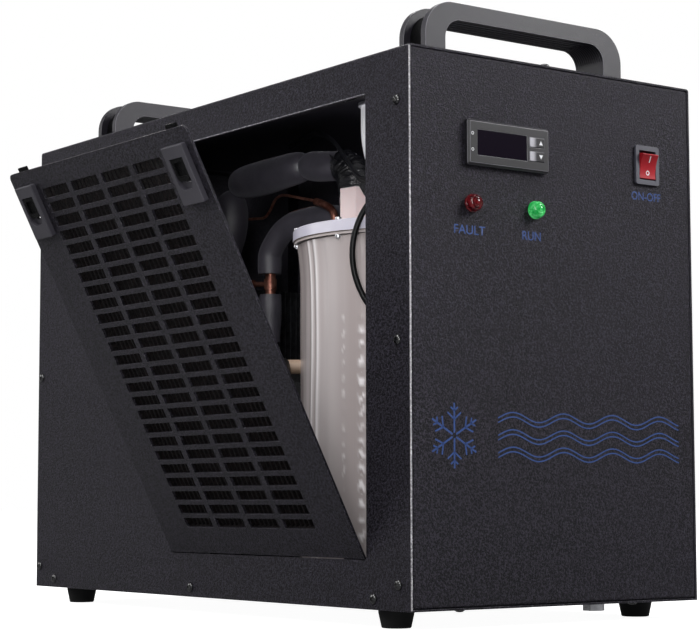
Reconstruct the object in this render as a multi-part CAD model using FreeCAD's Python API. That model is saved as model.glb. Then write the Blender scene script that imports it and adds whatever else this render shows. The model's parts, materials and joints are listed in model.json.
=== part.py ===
# Water chiller in a folded steel case, in millimetres.
# Front faces -Y, the service door is on the left (-X) side, +Z is up.
# The origin is the centre of the footprint, on the floor under the feet.
import FreeCAD, Part
import math
import os

V = FreeCAD.Vector
os.makedirs("parts", exist_ok=True)

# Case
case_width = 290.0
case_depth = 576.0
case_height = 414.0
sheet = 1.5
bend_radius = 2.5
flange_depth = 20.0
pan_flange_height = 18.0

# Feet
foot_height = 14.0
foot_top_radius = 13.5
foot_bottom_radius = 11.0
foot_from_side = 23.0
foot_from_end = 47.0
foot_recess_radius = 5.5
foot_recess_depth = 8.0

# Service opening in the left wall, and its folded lip
opening_from_front = 53.2
opening_length = 278.2
opening_above_base = 36.0
opening_below_top = 29.8
opening_corner = 3.0
lip_depth = 6.5

# Service door, drawn closed and then tipped open
door_clearance = 2.3
door_top_gap = 1.5
door_sheet = 2.0
door_corner = 5.0
door_open_angle = 27.1
pivot_above_sill = 0.6
door_above_pivot = 1.1
hook_width = 26.0
hook_sheet = 2.0
hook_drop = 8.6
hook_overlap = 10.0
hook_from_edge = 3.0
stop_gap = 0.3
stop_drop = 6.0
stop_rise = 3.0

# Slots of the door grille
slot_width = 41.2
slot_height = 8.5
slot_column_pitch = 48.1
slot_row_pitch = 12.3
slot_from_rear = 42.2
slot_from_front = 44.0
slot_from_top = 17.5
slot_from_bottom = 23.0
slot_corner = 3.5

# Filter frame behind the door
frame_border = 6.0
frame_depth = 5.0
rib_pitch = 6.0
rib_width = 2.4
rib_depth = 3.0

# Slide latches in the upper corners of the door
latch_width = 28.0
latch_length = 45.0
latch_rise = 4.5
latch_from_side = 7.5
latch_from_top = 11.5
latch_corner = 1.2
pocket_width = 18.0
pocket_length = 24.0
pocket_from_top = 9.5
pocket_floor = 1.0
pocket_round = 0.6
slider_length = 17.4
slider_gap = 0.3
slider_travel = 6.0
slider_sink = 0.6
slider_hollow_depth = 1.4
stem_width = 8.0
stem_length = 8.0
tongue_width = 14.0
tongue_sheet = 2.0
tongue_reach = 3.2
keeper_gap = 1.0

# Carrying handles
handle_length = 204.0
handle_rise = 47.5
handle_depth = 33.0
handle_from_end = 33.8
handle_leg = 19.5
handle_bar = 13.5
handle_outer_corner = 27.0
handle_inner_corner = 15.0
handle_rim = 6.0
handle_channel_depth = 6.5
grip_groove_width = 2.4
grip_groove_depth = 1.2
grip_groove_pitch = 5.2
grip_grooves = 5
handle_screw_radius = 2.5

# Screws of the case
screw_head_radius = 4.0
screw_head_height = 2.4
screw_shank_radius = 1.9
screw_shank_length = 7.0
screw_hole_radius = 2.1
screw_from_front = 14.5
screw_from_rear = 6.5
side_screw_above_base = 19.0
side_screw_below_top = 40.0
pan_screw_height = 8.0
pan_screw_from_front = 44.7
pan_screw_from_middle = 11.4
pan_screw_from_rear = 35.7
top_screw_from_front = 4.5
top_screw_x = -8.0
under_screw_from_side = 57.0
under_screw_from_front = 15.0

# Temperature controller
controller_width = 80.7
controller_height = 34.4
controller_from_left = 93.2
controller_below_top = 68.0
bezel_depth = 4.5
bezel_corner = 2.0
bezel_bevel = 1.6
controller_cut_width = 71.0
controller_cut_height = 29.0
controller_body_depth = 60.0
window_width = 49.0
window_height = 19.3
window_from_left = 8.6
window_thickness = 1.6
window_sink = 0.4
button_width = 14.4
button_height = 7.2
button_gap_between = 3.6
button_from_left = 60.4
button_clearance = 0.25
button_depth = 3.4
button_proud = 0.5
button_travel = 0.8
button_corner = 0.8

# Signal lamps
lamp_below_controller = 45.8
fault_lamp_left_of_controller = 33.8
run_lamp_right_of_controller = 28.4
lens_radius = 6.9
lens_rim = 3.0
lens_rise = 8.2
lens_tip_radius = 2.0
lamp_thread_radius = 5.0
lamp_body_length = 26.0
lamp_nut_radius = 8.0
lamp_nut_thickness = 3.0

# Rocker switch
switch_from_right = 49.6
switch_below_top = 67.9
switch_width = 25.6
switch_height = 31.2
switch_bezel_depth = 2.0
switch_body_width = 21.5
switch_body_height = 27.5
switch_body_depth = 24.0
rocker_width = 17.2
rocker_height = 22.8
rocker_clearance = 0.4
rocker_tilt = 12.0
rocker_axis_behind = 4.0
rocker_dish_radius = 30.0
rocker_half_depth = 5.6
rocker_pin_radius = 1.5
rocker_pin_gap = 0.05

# Tank
tank_left_of_middle = 3.0
tank_from_front = 177.0
tank_radius = 94.0
tank_wall = 3.0
tank_floor_thickness = 4.0
tank_height = 291.0
tank_flange_radius = 100.0
tank_flange_thickness = 2.6
lid_radius = 101.0
lid_thickness = 9.4
lid_step = 1.2
lid_hole_gap = 0.3
lid_screws = 8
lid_screw_ring = 97.6
lid_screw_radius = 1.5
lid_screw_head = 2.7
lid_screw_turn = 14.0
lid_nut_height = 2.4
lid_screw_tail = 1.0
lid_screw_head_height = 2.0

# Fittings on the lid
level_sensor_left_of_tank = 45.0
level_sensor_behind_tank = 14.0
level_sensor_flat = 30.0
level_sensor_height = 34.0
level_sensor_neck = 12.0
float_stem_radius = 4.0
float_stem_length = 70.0
float_radius = 11.0
float_height = 24.0
float_depth = 36.0
level_sensor_turn = 9.8
level_sensor_slope_start = -0.8
level_sensor_slope_run = 7.0
level_sensor_slope_fall = 12.0
level_sensor_slope_turn = -36.2
neck_left_of_tank = 27.0
neck_behind_tank = 9.0
filler_hole_right_of_tank = 1.0
neck_bore = 12.0
neck_wall = 3.0
neck_collar_radius = 22.0
neck_collar_height = 4.0
neck_rise = 14.0
neck_drop = 20.0
cap_wall = 2.6
cap_height = 14.0
cap_gap = 0.3
cap_grips = 12
cap_grip_radius = 1.6
neck_nut = 3.0
filler_hose_wall = 2.5
filler_hose_straight = 12.0
filler_hose_bend = 16.0
hose_fit = 0.05
hose_end_gap = 0.3

# Insulated return line: foam on a hose
return_foam_radius = 14.5
foam_gap = 0.4
return_left_of_tank = 27.0
return_behind_tank = 45.0
return_below_top = 40.0
return_run_shift = 8.0
return_joint_from_tank = 107.0
return_bend_from_rear = 180.0

# Suction and injection lines
suction_foam_radius = 10.6
suction_left_of_tank = 1.0
suction_behind_tank = 83.0
suction_side = 17.0
suction_reach = 105.0
suction_port_top = 206.0
suction_port_radius = 7.0
suction_port_length = 30.0
suction_bare_from = 20.0
suction_bare = 18.0
suction_foam_stop = 30.0
foam_fit = 0.3
copper_radius = 4.8
injection_left_of_tank = 25.0
injection_behind_tank = 78.0
capillary_radius = 1.3
injection_radius = 3.2
lead_radius = 3.4
thin_lead_radius = 1.6
arc_share = 0.45
straight_limit = 0.001

# Evaporator coil in the tank
evaporator_radius = 6.0
evaporator_bottom = 60.0
evaporator_top = 270.0
evaporator_step = 44.0

# Compressor
compressor_right_of_middle = 32.0
compressor_from_rear = 180.0
compressor_radius = 60.0
compressor_bottom = 48.0
compressor_top = 216.0
compressor_dome = 30.0
compressor_seam = 4.0
compressor_seam_height = 8.0
compressor_foot_radius = 74.0
compressor_plate = 3.0
discharge_port_side = 38.0
discharge_port_back = 20.0
discharge_port_radius = 6.0
grommet_radius = 10.0
grommet_waist = 6.5
grommet_bolt = 3.0
cover_width = 52.0
cover_height = 62.0
cover_depth = 26.0

# Condenser and fan
condenser_right_of_middle = 18.0
condenser_width = 196.0
condenser_from_rear = 83.0
condenser_depth = 38.0
condenser_bottom = 42.0
condenser_height = 258.0
fin_pitch = 6.5
fin_thickness = 0.8
condenser_tube_radius = 4.8
condenser_runs = 7
condenser_end_plate = 2.0
shroud_wall = 2.0
shroud_box_depth = 20.0
fan_ring_radius = 92.0
fan_tip_gap = 4.0
fan_hub_radius = 30.0
fan_hub_length = 18.0
fan_blades = 7
fan_blade_chord = 52.0
fan_blade_camber = 6.0
fan_blade_thickness = 2.0
fan_blade_angle = 62.0
motor_radius = 32.0
motor_length = 14.0
motor_gap = 1.0
fan_shaft_radius = 4.0
fan_shaft_gap = 0.05
motor_arms = 4
motor_arm_width = 10.0
motor_arm_sheet = 3.0

# Rear panel: fan grille, power inlet and water ports
grille_rings = 6
grille_inner_radius = 20.0
grille_ring_width = 8.0
grille_ring_pitch = 12.0
grille_spokes = 8
grille_spoke_width = 7.0
inlet_from_left = 40.0
inlet_below_top = 52.0
inlet_cut_width = 48.5
inlet_cut_height = 28.0
inlet_flange_width = 60.0
inlet_flange_height = 34.0
inlet_flange_depth = 3.0
inlet_body_depth = 26.0
inlet_well_depth = 15.0
inlet_well_width = 24.5
inlet_well_height = 17.0
inlet_pin_width = 2.0
inlet_pin_height = 4.0
inlet_pin_pitch = 7.0
port_from_left = 23.0
return_port_above_base = 82.0
supply_port_above_base = 42.0
port_thread_radius = 5.72
port_thread_length = 12.0
port_hex_flat = 17.5
port_hex_length = 9.0
port_body_radius = 8.0
port_inner_length = 16.0
port_nut_length = 5.0
port_barb_bore = 3.5

# Pump
pump_from_left = 50.0
pump_from_rear = 170.0
pump_radius = 27.0
pump_motor_height = 38.0
pump_head_radius = 31.0
pump_head_height = 16.0
pump_foot = 4.0
pump_port_radius = 7.0
pump_port_length = 12.0
hose_radius = 8.5

# Filter drier
drier_from_left = 95.0
drier_from_rear = 120.0
drier_radius = 9.5
drier_bottom = 120.0
drier_top = 206.0
drier_neck = 12.0

# Drain
drain_from_right = 94.0
drain_from_front = 20.0
drain_hex_flat = 15.0
drain_head = 6.0
drain_stem_radius = 6.0
drain_stem_height = 12.0
drain_notch_gap = 0.5

# Places worked out from the sizes above
base_z = foot_height
top_z = base_z + case_height
inner_x = case_width / 2 - sheet
inner_y = case_depth / 2 - sheet
inner_top = top_z - sheet
pan_top = base_z + sheet
front_y = -case_depth / 2
rear_y = case_depth / 2
left_x = -case_width / 2

right_x = case_width / 2

foot_x = right_x - foot_from_side
foot_y = rear_y - foot_from_end

opening_y0 = front_y + opening_from_front
opening_y1 = opening_y0 + opening_length
opening_z0 = base_z + opening_above_base
opening_z1 = top_z - opening_below_top

pivot_x = -inner_x
pivot_z = opening_z0 + pivot_above_sill
door_y0 = opening_y0 + door_clearance
door_y1 = opening_y1 - door_clearance
door_z0 = pivot_z + door_above_pivot
door_z1 = opening_z1 - door_top_gap
door_back = left_x + door_sheet

spare_length = door_y1 - door_y0 - slot_from_rear - slot_from_front - slot_width
slot_columns = 1 + int(spare_length / slot_column_pitch)
spare_height = door_z1 - door_z0 - slot_from_top - slot_from_bottom - slot_height
slot_rows = 1 + int(spare_height / slot_row_pitch)

side_screw_low = base_z + side_screw_above_base
side_screw_high = top_z - side_screw_below_top
under_screw_x = right_x - under_screw_from_side

controller_x = left_x + controller_from_left
controller_z = top_z - controller_below_top
fault_lamp_x = controller_x - fault_lamp_left_of_controller
run_lamp_x = controller_x + run_lamp_right_of_controller
lamp_z = controller_z - lamp_below_controller
switch_x = right_x - switch_from_right
switch_z = top_z - switch_below_top
inlet_x = left_x + inlet_from_left
inlet_z = top_z - inlet_below_top
port_x = left_x + port_from_left

tank_x = -tank_left_of_middle
tank_y = front_y + tank_from_front
tank_top = pan_top + tank_height
lid_top = tank_top + tank_flange_thickness + lid_thickness
level_sensor_x = tank_x - level_sensor_left_of_tank
level_sensor_y = tank_y + level_sensor_behind_tank
neck_x = tank_x - neck_left_of_tank
neck_y = tank_y + neck_behind_tank
filler_lid_x = tank_x + filler_hole_right_of_tank
return_x = tank_x - return_left_of_tank
return_y = tank_y + return_behind_tank
return_top = inner_top - return_below_top
return_joint_y = tank_y + return_joint_from_tank
return_bend_y = rear_y - return_bend_from_rear
suction_x = tank_x - suction_left_of_tank
suction_y = tank_y + suction_behind_tank
injection_x = tank_x - injection_left_of_tank
injection_y = tank_y + injection_behind_tank

compressor_x = compressor_right_of_middle
compressor_y = rear_y - compressor_from_rear
condenser_centre_x = condenser_right_of_middle
condenser_front = rear_y - condenser_from_rear
condenser_back = condenser_front + condenser_depth
fan_z = condenser_bottom + condenser_height / 2
pump_x = left_x + pump_from_left
pump_y = rear_y - pump_from_rear
drier_x = left_x + drier_from_left
drier_y = rear_y - drier_from_rear
drain_x = right_x - drain_from_right
drain_y = front_y + drain_from_front


def block(x0, x1, y0, y1, z0, z1):
    """Box between two corners."""
    return Part.makeBox(x1 - x0, y1 - y0, z1 - z0, V(x0, y0, z0))


def rod(radius, start, end):
    """Cylinder from one point to another."""
    axis = end.sub(start)
    return Part.makeCylinder(radius, axis.Length, start, axis)


def ring(outer, inner, start, end):
    """Tube wall from one point to another."""
    return rod(outer, start, end).cut(rod(inner, start, end))


def unit(vector):
    """Vector of length one, the given one left as it is."""
    return vector * (1.0 / vector.Length)


def edges_along(shape, direction, wanted=lambda centre: True):
    """Straight edges of a shape that run along a direction."""
    found = []
    for edge in shape.Edges:
        if edge.Curve.TypeId != "Part::GeomLine":
            continue
        line = unit(edge.Vertexes[-1].Point.sub(edge.Vertexes[0].Point))
        if abs(line.dot(direction)) > 0.999 and wanted(edge.CenterOfMass):
            found.append(edge)
    return found


def rounded(shape, direction, radius, wanted=lambda centre: True):
    """Shape with its edges along a direction rounded."""
    return shape.makeFillet(radius, edges_along(shape, direction, wanted))


def hexagon_rod(across_flats, start, end):
    """Hexagonal bar from one point to another."""
    axis = end.sub(start)
    side = V(0, 0, 1) if abs(unit(axis).z) < 0.9 else V(1, 0, 0)
    across = unit(axis.cross(side))
    upward = unit(axis.cross(across))
    corner = across_flats / math.sqrt(3)
    points = []
    for step in range(7):
        turn = math.radians(60 * step)
        points.append(start + across * (corner * math.cos(turn)) + upward * (corner * math.sin(turn)))
    return Part.Face(Part.makePolygon(points)).extrude(axis)


def turned(profile, x=0.0, y=0.0, z=0.0):
    """Solid turned about a vertical axis from (radius, height) points."""
    points = [V(radius, 0, height) for radius, height in profile]
    face = Part.Face(Part.makePolygon(points + [points[0]]))
    solid = face.revolve(V(0, 0, 0), V(0, 0, 1), 360)
    solid.translate(V(x, y, z))
    return solid


def route(points):
    """Wire of straight runs joined by tangent arcs, with the arcs' radii."""
    edges = []
    radii = []
    start = points[0]
    for before, corner, after in zip(points, points[1:], points[2:]):
        run_in = corner.sub(before)
        run_out = after.sub(corner)
        half_turn = run_in.getAngle(run_out) / 2
        if half_turn < straight_limit:
            continue
        cut = arc_share * min(run_in.Length, run_out.Length)
        radius = cut / math.tan(half_turn)
        first = corner - unit(run_in) * cut
        last = corner + unit(run_out) * cut
        inward = unit(unit(run_out) - unit(run_in))
        middle = corner + inward * (radius / math.cos(half_turn) - radius)
        edges.append(Part.LineSegment(start, first).toShape())
        edges.append(Part.Arc(first, middle, last).toShape())
        radii.append(radius)
        start = last
    edges.append(Part.LineSegment(start, points[-1]).toShape())
    return Part.Wire(edges), radii


def tube(points, radius, bore=0.0):
    """Round tube along a route."""
    path, _ = route(points)
    direction = unit(points[1].sub(points[0]))
    outline = Part.Wire([Part.Edge(Part.Circle(points[0], direction, radius))])
    solid = path.makePipeShell([outline], True, True)
    if bore:
        inside = Part.Wire([Part.Edge(Part.Circle(points[0], direction, bore))])
        solid = solid.cut(path.makePipeShell([inside], True, True))
    return solid


def group(solids):
    """Separate solids that share one node."""
    return Part.makeCompound(solids)


def pan_screw(seat, outward):
    """Pan head screw, its head on a seat and its shank going inwards."""
    head = rod(screw_head_radius, seat, seat + outward * (screw_head_height * 0.45))
    crown = Part.makeCone(screw_head_radius, screw_head_radius * 0.6, screw_head_height * 0.55,
                          seat + outward * (screw_head_height * 0.45), outward)
    shank = rod(screw_shank_radius, seat - outward * screw_shank_length, seat)
    return head.fuse([crown, shank]).removeSplitter()


def side_screw_places():
    """Seats of the screws in the two side walls, as (y, z)."""
    places = []
    for z in (side_screw_low, (side_screw_low + side_screw_high) / 2, side_screw_high):
        places.append((front_y + screw_from_front, z))
        places.append((rear_y - screw_from_rear, z))
    for y in (front_y + pan_screw_from_front, pan_screw_from_middle, rear_y - pan_screw_from_rear):
        places.append((y, base_z + pan_screw_height))
    return places


def side_screw_holes():
    """Bars that cut the side screws' holes through both walls."""
    reach = case_width
    return [rod(screw_hole_radius, V(-reach, y, z), V(reach, y, z)) for y, z in side_screw_places()]


def handle_screw_places():
    """Points on the top sheet under the middle of each handle leg."""
    places = []
    for end in (-1, 1):
        y = end * (case_depth / 2 - handle_from_end - handle_depth / 2)
        for side in (-1, 1):
            places.append(V(side * (handle_length - handle_leg) / 2, y, inner_top))
    return places


def hook_spans():
    """Where the two hooks of the door lie along Y."""
    front = door_y0 + hook_from_edge
    rear = door_y1 - hook_from_edge
    return [(front, front + hook_width), (rear - hook_width, rear)]


def latch_spans():
    """Where the two latches lie along Y, front one first."""
    front = door_y0 + latch_from_side
    rear = door_y1 - latch_from_side
    return [(front, front + latch_width), (rear - latch_width, rear)]


def tip_door(shape):
    """Swing a piece drawn on the closed door to its open place."""
    shape.rotate(V(pivot_x, 0, pivot_z), V(0, 1, 0), -door_open_angle)
    return shape


def make_hood():
    """Left wall, top and right wall folded from one sheet."""
    outer = block(-case_width / 2, case_width / 2, front_y, rear_y, base_z, top_z)
    outer = rounded(outer, V(0, 1, 0), bend_radius, lambda centre: centre.z > top_z - 1)
    inner = block(-inner_x, inner_x, front_y - 1, rear_y + 1, base_z - 1, inner_top)
    inner = rounded(inner, V(0, 1, 0), bend_radius - sheet, lambda centre: centre.z > inner_top - 1)
    hood = outer.cut(inner)

    lip_x = -inner_x + lip_depth - sheet
    lips = [
        block(left_x, lip_x, opening_y0 - sheet, opening_y1 + sheet, opening_z1, opening_z1 + sheet),
        block(left_x, lip_x, opening_y0 - sheet, opening_y0, opening_z0, opening_z1),
        block(left_x, lip_x, opening_y1, opening_y1 + sheet, opening_z0, opening_z1),
    ]
    hood = hood.fuse(lips)
    opening = block(left_x - 1, lip_x + 1, opening_y0, opening_y1, opening_z0, opening_z1)
    opening = rounded(opening, V(1, 0, 0), opening_corner, lambda centre: centre.z < opening_z0 + 1)
    hood = hood.cut(opening)

    # Keeper slots for the latch tongues, cut through the top lip only
    keepers = []
    for y0, y1 in latch_spans():
        middle = (y0 + y1) / 2
        half = tongue_width / 2 + keeper_gap
        back = door_back + slider_gap + tongue_sheet + keeper_gap / 2
        keepers.append(block(-inner_x, back, middle - half, middle + half,
                             opening_z1 - 1, opening_z1 + sheet + 1))
    hood = hood.cut(keepers)

    # Stops inside the sill that the hooks meet when the door is open
    tip_x = door_back + hook_sheet - pivot_x
    turn = math.radians(door_open_angle)
    stop_x = pivot_x + tip_x * math.cos(turn) + hook_drop * math.sin(turn) + stop_gap
    stop_bottom = pivot_z - hook_drop - stop_drop
    stop_top = pivot_z - hook_drop + stop_rise
    for y0, y1 in hook_spans():
        shelf = block(-inner_x - 0.1, stop_x + sheet, y0, y1, stop_bottom, stop_bottom + sheet)
        upright = block(stop_x, stop_x + sheet, y0, y1, stop_bottom, stop_top)
        hood = hood.fuse([shelf, upright])

    holes = side_screw_holes()
    holes += [rod(handle_screw_radius + 0.2, place - V(0, 0, 1), place + V(0, 0, sheet + 1))
              for place in handle_screw_places()]
    holes.append(rod(neck_bore + neck_wall + 0.3, V(neck_x, neck_y, inner_top - 1),
                     V(neck_x, neck_y, top_z + 1)))
    holes.append(rod(screw_hole_radius, V(top_screw_x, front_y + top_screw_from_front, inner_top - 1),
                     V(top_screw_x, front_y + top_screw_from_front, top_z + 1)))
    return hood.cut(holes).removeSplitter()


def make_end_panel(outward):
    """Front or rear panel: a shallow tray with its flanges turned inwards."""
    face_y = outward * case_depth / 2
    inside_y = face_y - outward * flange_depth
    low_y, high_y = min(face_y, inside_y), max(face_y, inside_y)
    outer = block(-inner_x, inner_x, low_y, high_y, pan_top, inner_top)
    on_face = lambda centre: abs(centre.y - face_y) < 0.01
    outer = rounded(outer, V(1, 0, 0), bend_radius, on_face)
    outer = outer.makeFillet(bend_radius, edges_along(outer, V(0, 0, 1), on_face))
    back_y = face_y - outward * sheet
    deep_y = inside_y - outward * 1.0
    hollow = block(-inner_x + sheet, inner_x - sheet, min(back_y, deep_y), max(back_y, deep_y),
                   pan_top + sheet, inner_top - sheet)
    return outer.cut(hollow)


def make_front_panel():
    """Front panel with the cut-outs of its controls."""
    panel = make_end_panel(-1)
    deep = front_y + flange_depth / 2
    cuts = side_screw_holes()
    cuts.append(block(controller_x - controller_cut_width / 2, controller_x + controller_cut_width / 2,
                      front_y - 1, deep, controller_z - controller_cut_height / 2,
                      controller_z + controller_cut_height / 2))
    cuts.append(block(switch_x - switch_body_width / 2, switch_x + switch_body_width / 2,
                      front_y - 1, deep, switch_z - switch_body_height / 2,
                      switch_z + switch_body_height / 2))
    for lamp_x in (fault_lamp_x, run_lamp_x):
        cuts.append(rod(lamp_thread_radius, V(lamp_x, front_y - 1, lamp_z),
                        V(lamp_x, deep, lamp_z)))
    cuts.append(rod(screw_hole_radius, V(top_screw_x, front_y + top_screw_from_front, inner_top - neck_nut),
                    V(top_screw_x, front_y + top_screw_from_front, top_z)))
    for side in (-1, 1):
        place = V(side * under_screw_x, front_y + under_screw_from_front, base_z)
        cuts.append(rod(screw_hole_radius, place, place + V(0, 0, 2 * sheet + 1)))
    cuts.append(rod(drain_stem_radius + drain_notch_gap, V(drain_x, drain_y, base_z),
                    V(drain_x, drain_y, pan_top + 2 * sheet)))
    return panel.cut(cuts)


def grille_slots():
    """Arc slots of the fan grille, between its spokes."""
    centre = V(condenser_centre_x, rear_y, fan_z)
    start = centre - V(0, sheet + 1, 0)
    end = centre + V(0, 1, 0)
    slots = []
    for index in range(grille_rings):
        inner = grille_inner_radius + index * grille_ring_pitch
        slots.append(ring(inner + grille_ring_width, inner, start, end))
    spokes = []
    reach = grille_inner_radius + grille_rings * grille_ring_pitch
    for index in range(grille_spokes):
        spoke = block(centre.x, centre.x + reach, start.y - 1, end.y + 1,
                      centre.z - grille_spoke_width / 2, centre.z + grille_spoke_width / 2)
        spoke.rotate(centre, V(0, 1, 0), 360.0 * index / grille_spokes)
        spokes.append(spoke)
    return [slot.cut(spokes) for slot in slots]


def make_rear_panel():
    """Rear panel with the fan grille, the power inlet and the water ports."""
    panel = make_end_panel(1)
    cuts = side_screw_holes() + grille_slots()
    cuts.append(block(inlet_x - inlet_cut_width / 2, inlet_x + inlet_cut_width / 2,
                      inner_y - 1, rear_y + 1, inlet_z - inlet_cut_height / 2,
                      inlet_z + inlet_cut_height / 2))
    for height in (return_port_above_base, supply_port_above_base):
        cuts.append(rod(port_body_radius, V(port_x, inner_y - 1, base_z + height),
                        V(port_x, rear_y + 1, base_z + height)))
    return panel.cut(cuts)


def make_base_pan():
    """Base pan with a flange turned up along each side."""
    pan = block(-inner_x, inner_x, front_y, rear_y, base_z, pan_top)
    flange_y = case_depth / 2 - flange_depth - 2.0
    for side in (-1, 1):
        x0, x1 = sorted((side * inner_x, side * (inner_x - sheet)))
        pan = pan.fuse(block(x0, x1, -flange_y, flange_y, base_z, pan_top + pan_flange_height))
    holes = side_screw_holes()
    for x in (-foot_x, foot_x):
        for y in (-foot_y, foot_y):
            holes.append(rod(screw_hole_radius, V(x, y, base_z - 1), V(x, y, pan_top + 1)))
    holes.append(rod(drain_stem_radius, V(drain_x, drain_y, base_z - 1), V(drain_x, drain_y, pan_top + 1)))
    for side in (-1, 1):
        place = V(side * under_screw_x, front_y + under_screw_from_front, base_z - 1)
        holes.append(rod(screw_hole_radius, place, place + V(0, 0, sheet + 2)))
    return pan.cut(holes).removeSplitter()


def make_foot(x, y):
    """Tapered rubber foot with a recess for its screw."""
    profile = [
        (screw_hole_radius, foot_height), (foot_top_radius, foot_height),
        (foot_top_radius, foot_height - 2.5), (foot_bottom_radius, 0),
        (foot_recess_radius, 0), (foot_recess_radius, foot_recess_depth),
        (screw_hole_radius, foot_recess_depth),
    ]
    return turned(profile, x, y)


def make_foot_screws():
    """Screws that hold the feet, heads in the feet's recesses."""
    screws = []
    for x in (-foot_x, foot_x):
        for y in (-foot_y, foot_y):
            seat = V(x, y, foot_recess_depth)
            head = rod(screw_head_radius, seat - V(0, 0, screw_head_height), seat)
            shank = rod(screw_shank_radius, seat, V(x, y, pan_top + 3))
            screws.append(head.fuse(shank))
    return group(screws)


def arch(length, rise, leg, bar, outer_corner, inner_corner, y0, y1):
    """Arch of a handle between two planes across Y."""
    outer = block(-length / 2, length / 2, y0, y1, 0, rise)
    outer = rounded(outer, V(0, 1, 0), outer_corner, lambda centre: centre.z > rise - 1)
    inner = block(-length / 2 + leg, length / 2 - leg, y0 - 1, y1 + 1, -1, rise - bar)
    inner = rounded(inner, V(0, 1, 0), inner_corner, lambda centre: centre.z > rise - bar - 1)
    return outer.cut(inner)


def make_handle(end):
    """Moulded handle: two rims with a sunk channel between, grooved under the bar."""
    half = handle_depth / 2
    handle = arch(handle_length, handle_rise, handle_leg, handle_bar,
                  handle_outer_corner, handle_inner_corner, -half, half)
    inset = handle_channel_depth
    core = arch(handle_length - 2 * inset, handle_rise - inset, handle_leg - inset, handle_bar - inset,
                handle_outer_corner - inset, handle_inner_corner, -half, half)
    channel = block(-handle_length, handle_length, -half + handle_rim, half - handle_rim, -1, handle_rise + 1)
    handle = handle.cut(handle.cut(core).common(channel))
    grooves = []
    reach = handle_length / 2 - handle_leg - handle_inner_corner
    under = handle_rise - handle_bar
    for index in range(grip_grooves):
        y = (index - (grip_grooves - 1) / 2) * grip_groove_pitch
        grooves.append(block(-reach, reach, y - grip_groove_width / 2, y + grip_groove_width / 2,
                             under - 1, under + grip_groove_depth))
    handle = handle.cut(grooves)
    for side in (-1, 1):
        x = side * (handle_length - handle_leg) / 2
        handle = handle.cut(rod(handle_screw_radius, V(x, 0, -1), V(x, 0, handle_rise / 2)))
    handle.translate(V(0, end * (case_depth / 2 - handle_from_end - half), top_z))
    return handle


def make_handle_screws():
    """Screws up through the top sheet into the handle legs."""
    screws = []
    for place in handle_screw_places():
        head = rod(screw_head_radius, place - V(0, 0, screw_head_height), place)
        shank = rod(handle_screw_radius, place, V(place.x, place.y, top_z + handle_rise / 2 - 4))
        screws.append(head.fuse(shank))
    return group(screws)


def make_case_screws():
    """Pan head screws that close the case."""
    screws = []
    for y, z in side_screw_places():
        for side in (-1, 1):
            screws.append(pan_screw(V(side * case_width / 2, y, z), V(side, 0, 0)))
    screws.append(pan_screw(V(top_screw_x, front_y + top_screw_from_front, top_z), V(0, 0, 1)))
    for side in (-1, 1):
        place = V(side * under_screw_x, front_y + under_screw_from_front, base_z)
        screws.append(pan_screw(place, V(0, 0, -1)))
    return group(screws)


def make_door_panel():
    """Slotted door sheet with two hooks at its lower edge."""
    door = block(left_x, door_back, door_y0, door_y1, door_z0, door_z1)
    door = rounded(door, V(1, 0, 0), door_corner, lambda centre: centre.z > door_z1 - 1)
    slots = []
    for column in range(slot_columns):
        y1 = door_y1 - slot_from_rear - column * slot_column_pitch
        y0 = y1 - slot_width
        for row in range(slot_rows):
            z1 = door_z1 - slot_from_top - row * slot_row_pitch
            z0 = z1 - slot_height
            slot = block(left_x - 1, door_back + 1, y0, y1, z0, z1)
            if column in (0, slot_columns - 1) and row in (0, slot_rows - 1):
                edge_y = y1 if column == 0 else y0
                edge_z = z1 if row == 0 else z0
                slot = rounded(slot, V(1, 0, 0), slot_corner,
                               lambda centre: abs(centre.y - edge_y) < 1 and abs(centre.z - edge_z) < 1)
            slots.append(slot)
    for y0, y1 in latch_spans():
        slots.append(latch_window(y0, y1, left_x - 1, door_back + 1))
    door = door.cut(slots)
    for y0, y1 in hook_spans():
        door = door.fuse(block(door_back, door_back + hook_sheet, y0, y1,
                               pivot_z - hook_drop, door_z0 + hook_overlap))
    return tip_door(door.removeSplitter())


def slider_top():
    """Height of the slider's upper edge on the closed door."""
    return door_z1 - latch_from_top - pocket_from_top - slider_gap


def latch_window(y0, y1, x0, x1):
    """Hole that the slider's stem passes through and travels in."""
    middle = (y0 + y1) / 2
    half = stem_width / 2 + slider_gap
    stem_z1 = slider_top() - (slider_length - stem_length) / 2
    return block(x0, x1, middle - half, middle + half,
                 stem_z1 - stem_length - slider_travel - slider_gap, stem_z1 + slider_gap)


def make_filter_frame():
    """Moulded frame with upright ribs that backs the slots."""
    y1 = door_y1 - slot_from_rear + frame_border
    y0 = y1 - (slot_columns - 1) * slot_column_pitch - slot_width - 2 * frame_border
    z1 = door_z1 - slot_from_top + frame_border
    z0 = z1 - (slot_rows - 1) * slot_row_pitch - slot_height - 2 * frame_border
    frame = block(door_back, door_back + frame_depth, y0, y1, z0, z1)
    frame = frame.cut(block(door_back - 1, door_back + frame_depth + 1, y0 + frame_border,
                            y1 - frame_border, z0 + frame_border, z1 - frame_border))
    ribs = []
    clear = y1 - y0 - 2 * frame_border
    count = int(clear / rib_pitch)
    for index in range(1, count):
        y = y0 + frame_border + index * clear / count
        ribs.append(block(door_back + frame_depth - rib_depth, door_back + frame_depth,
                          y - rib_width / 2, y + rib_width / 2,
                          z0 + frame_border / 2, z1 - frame_border / 2))
    return tip_door(frame.fuse(ribs).removeSplitter())


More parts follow.
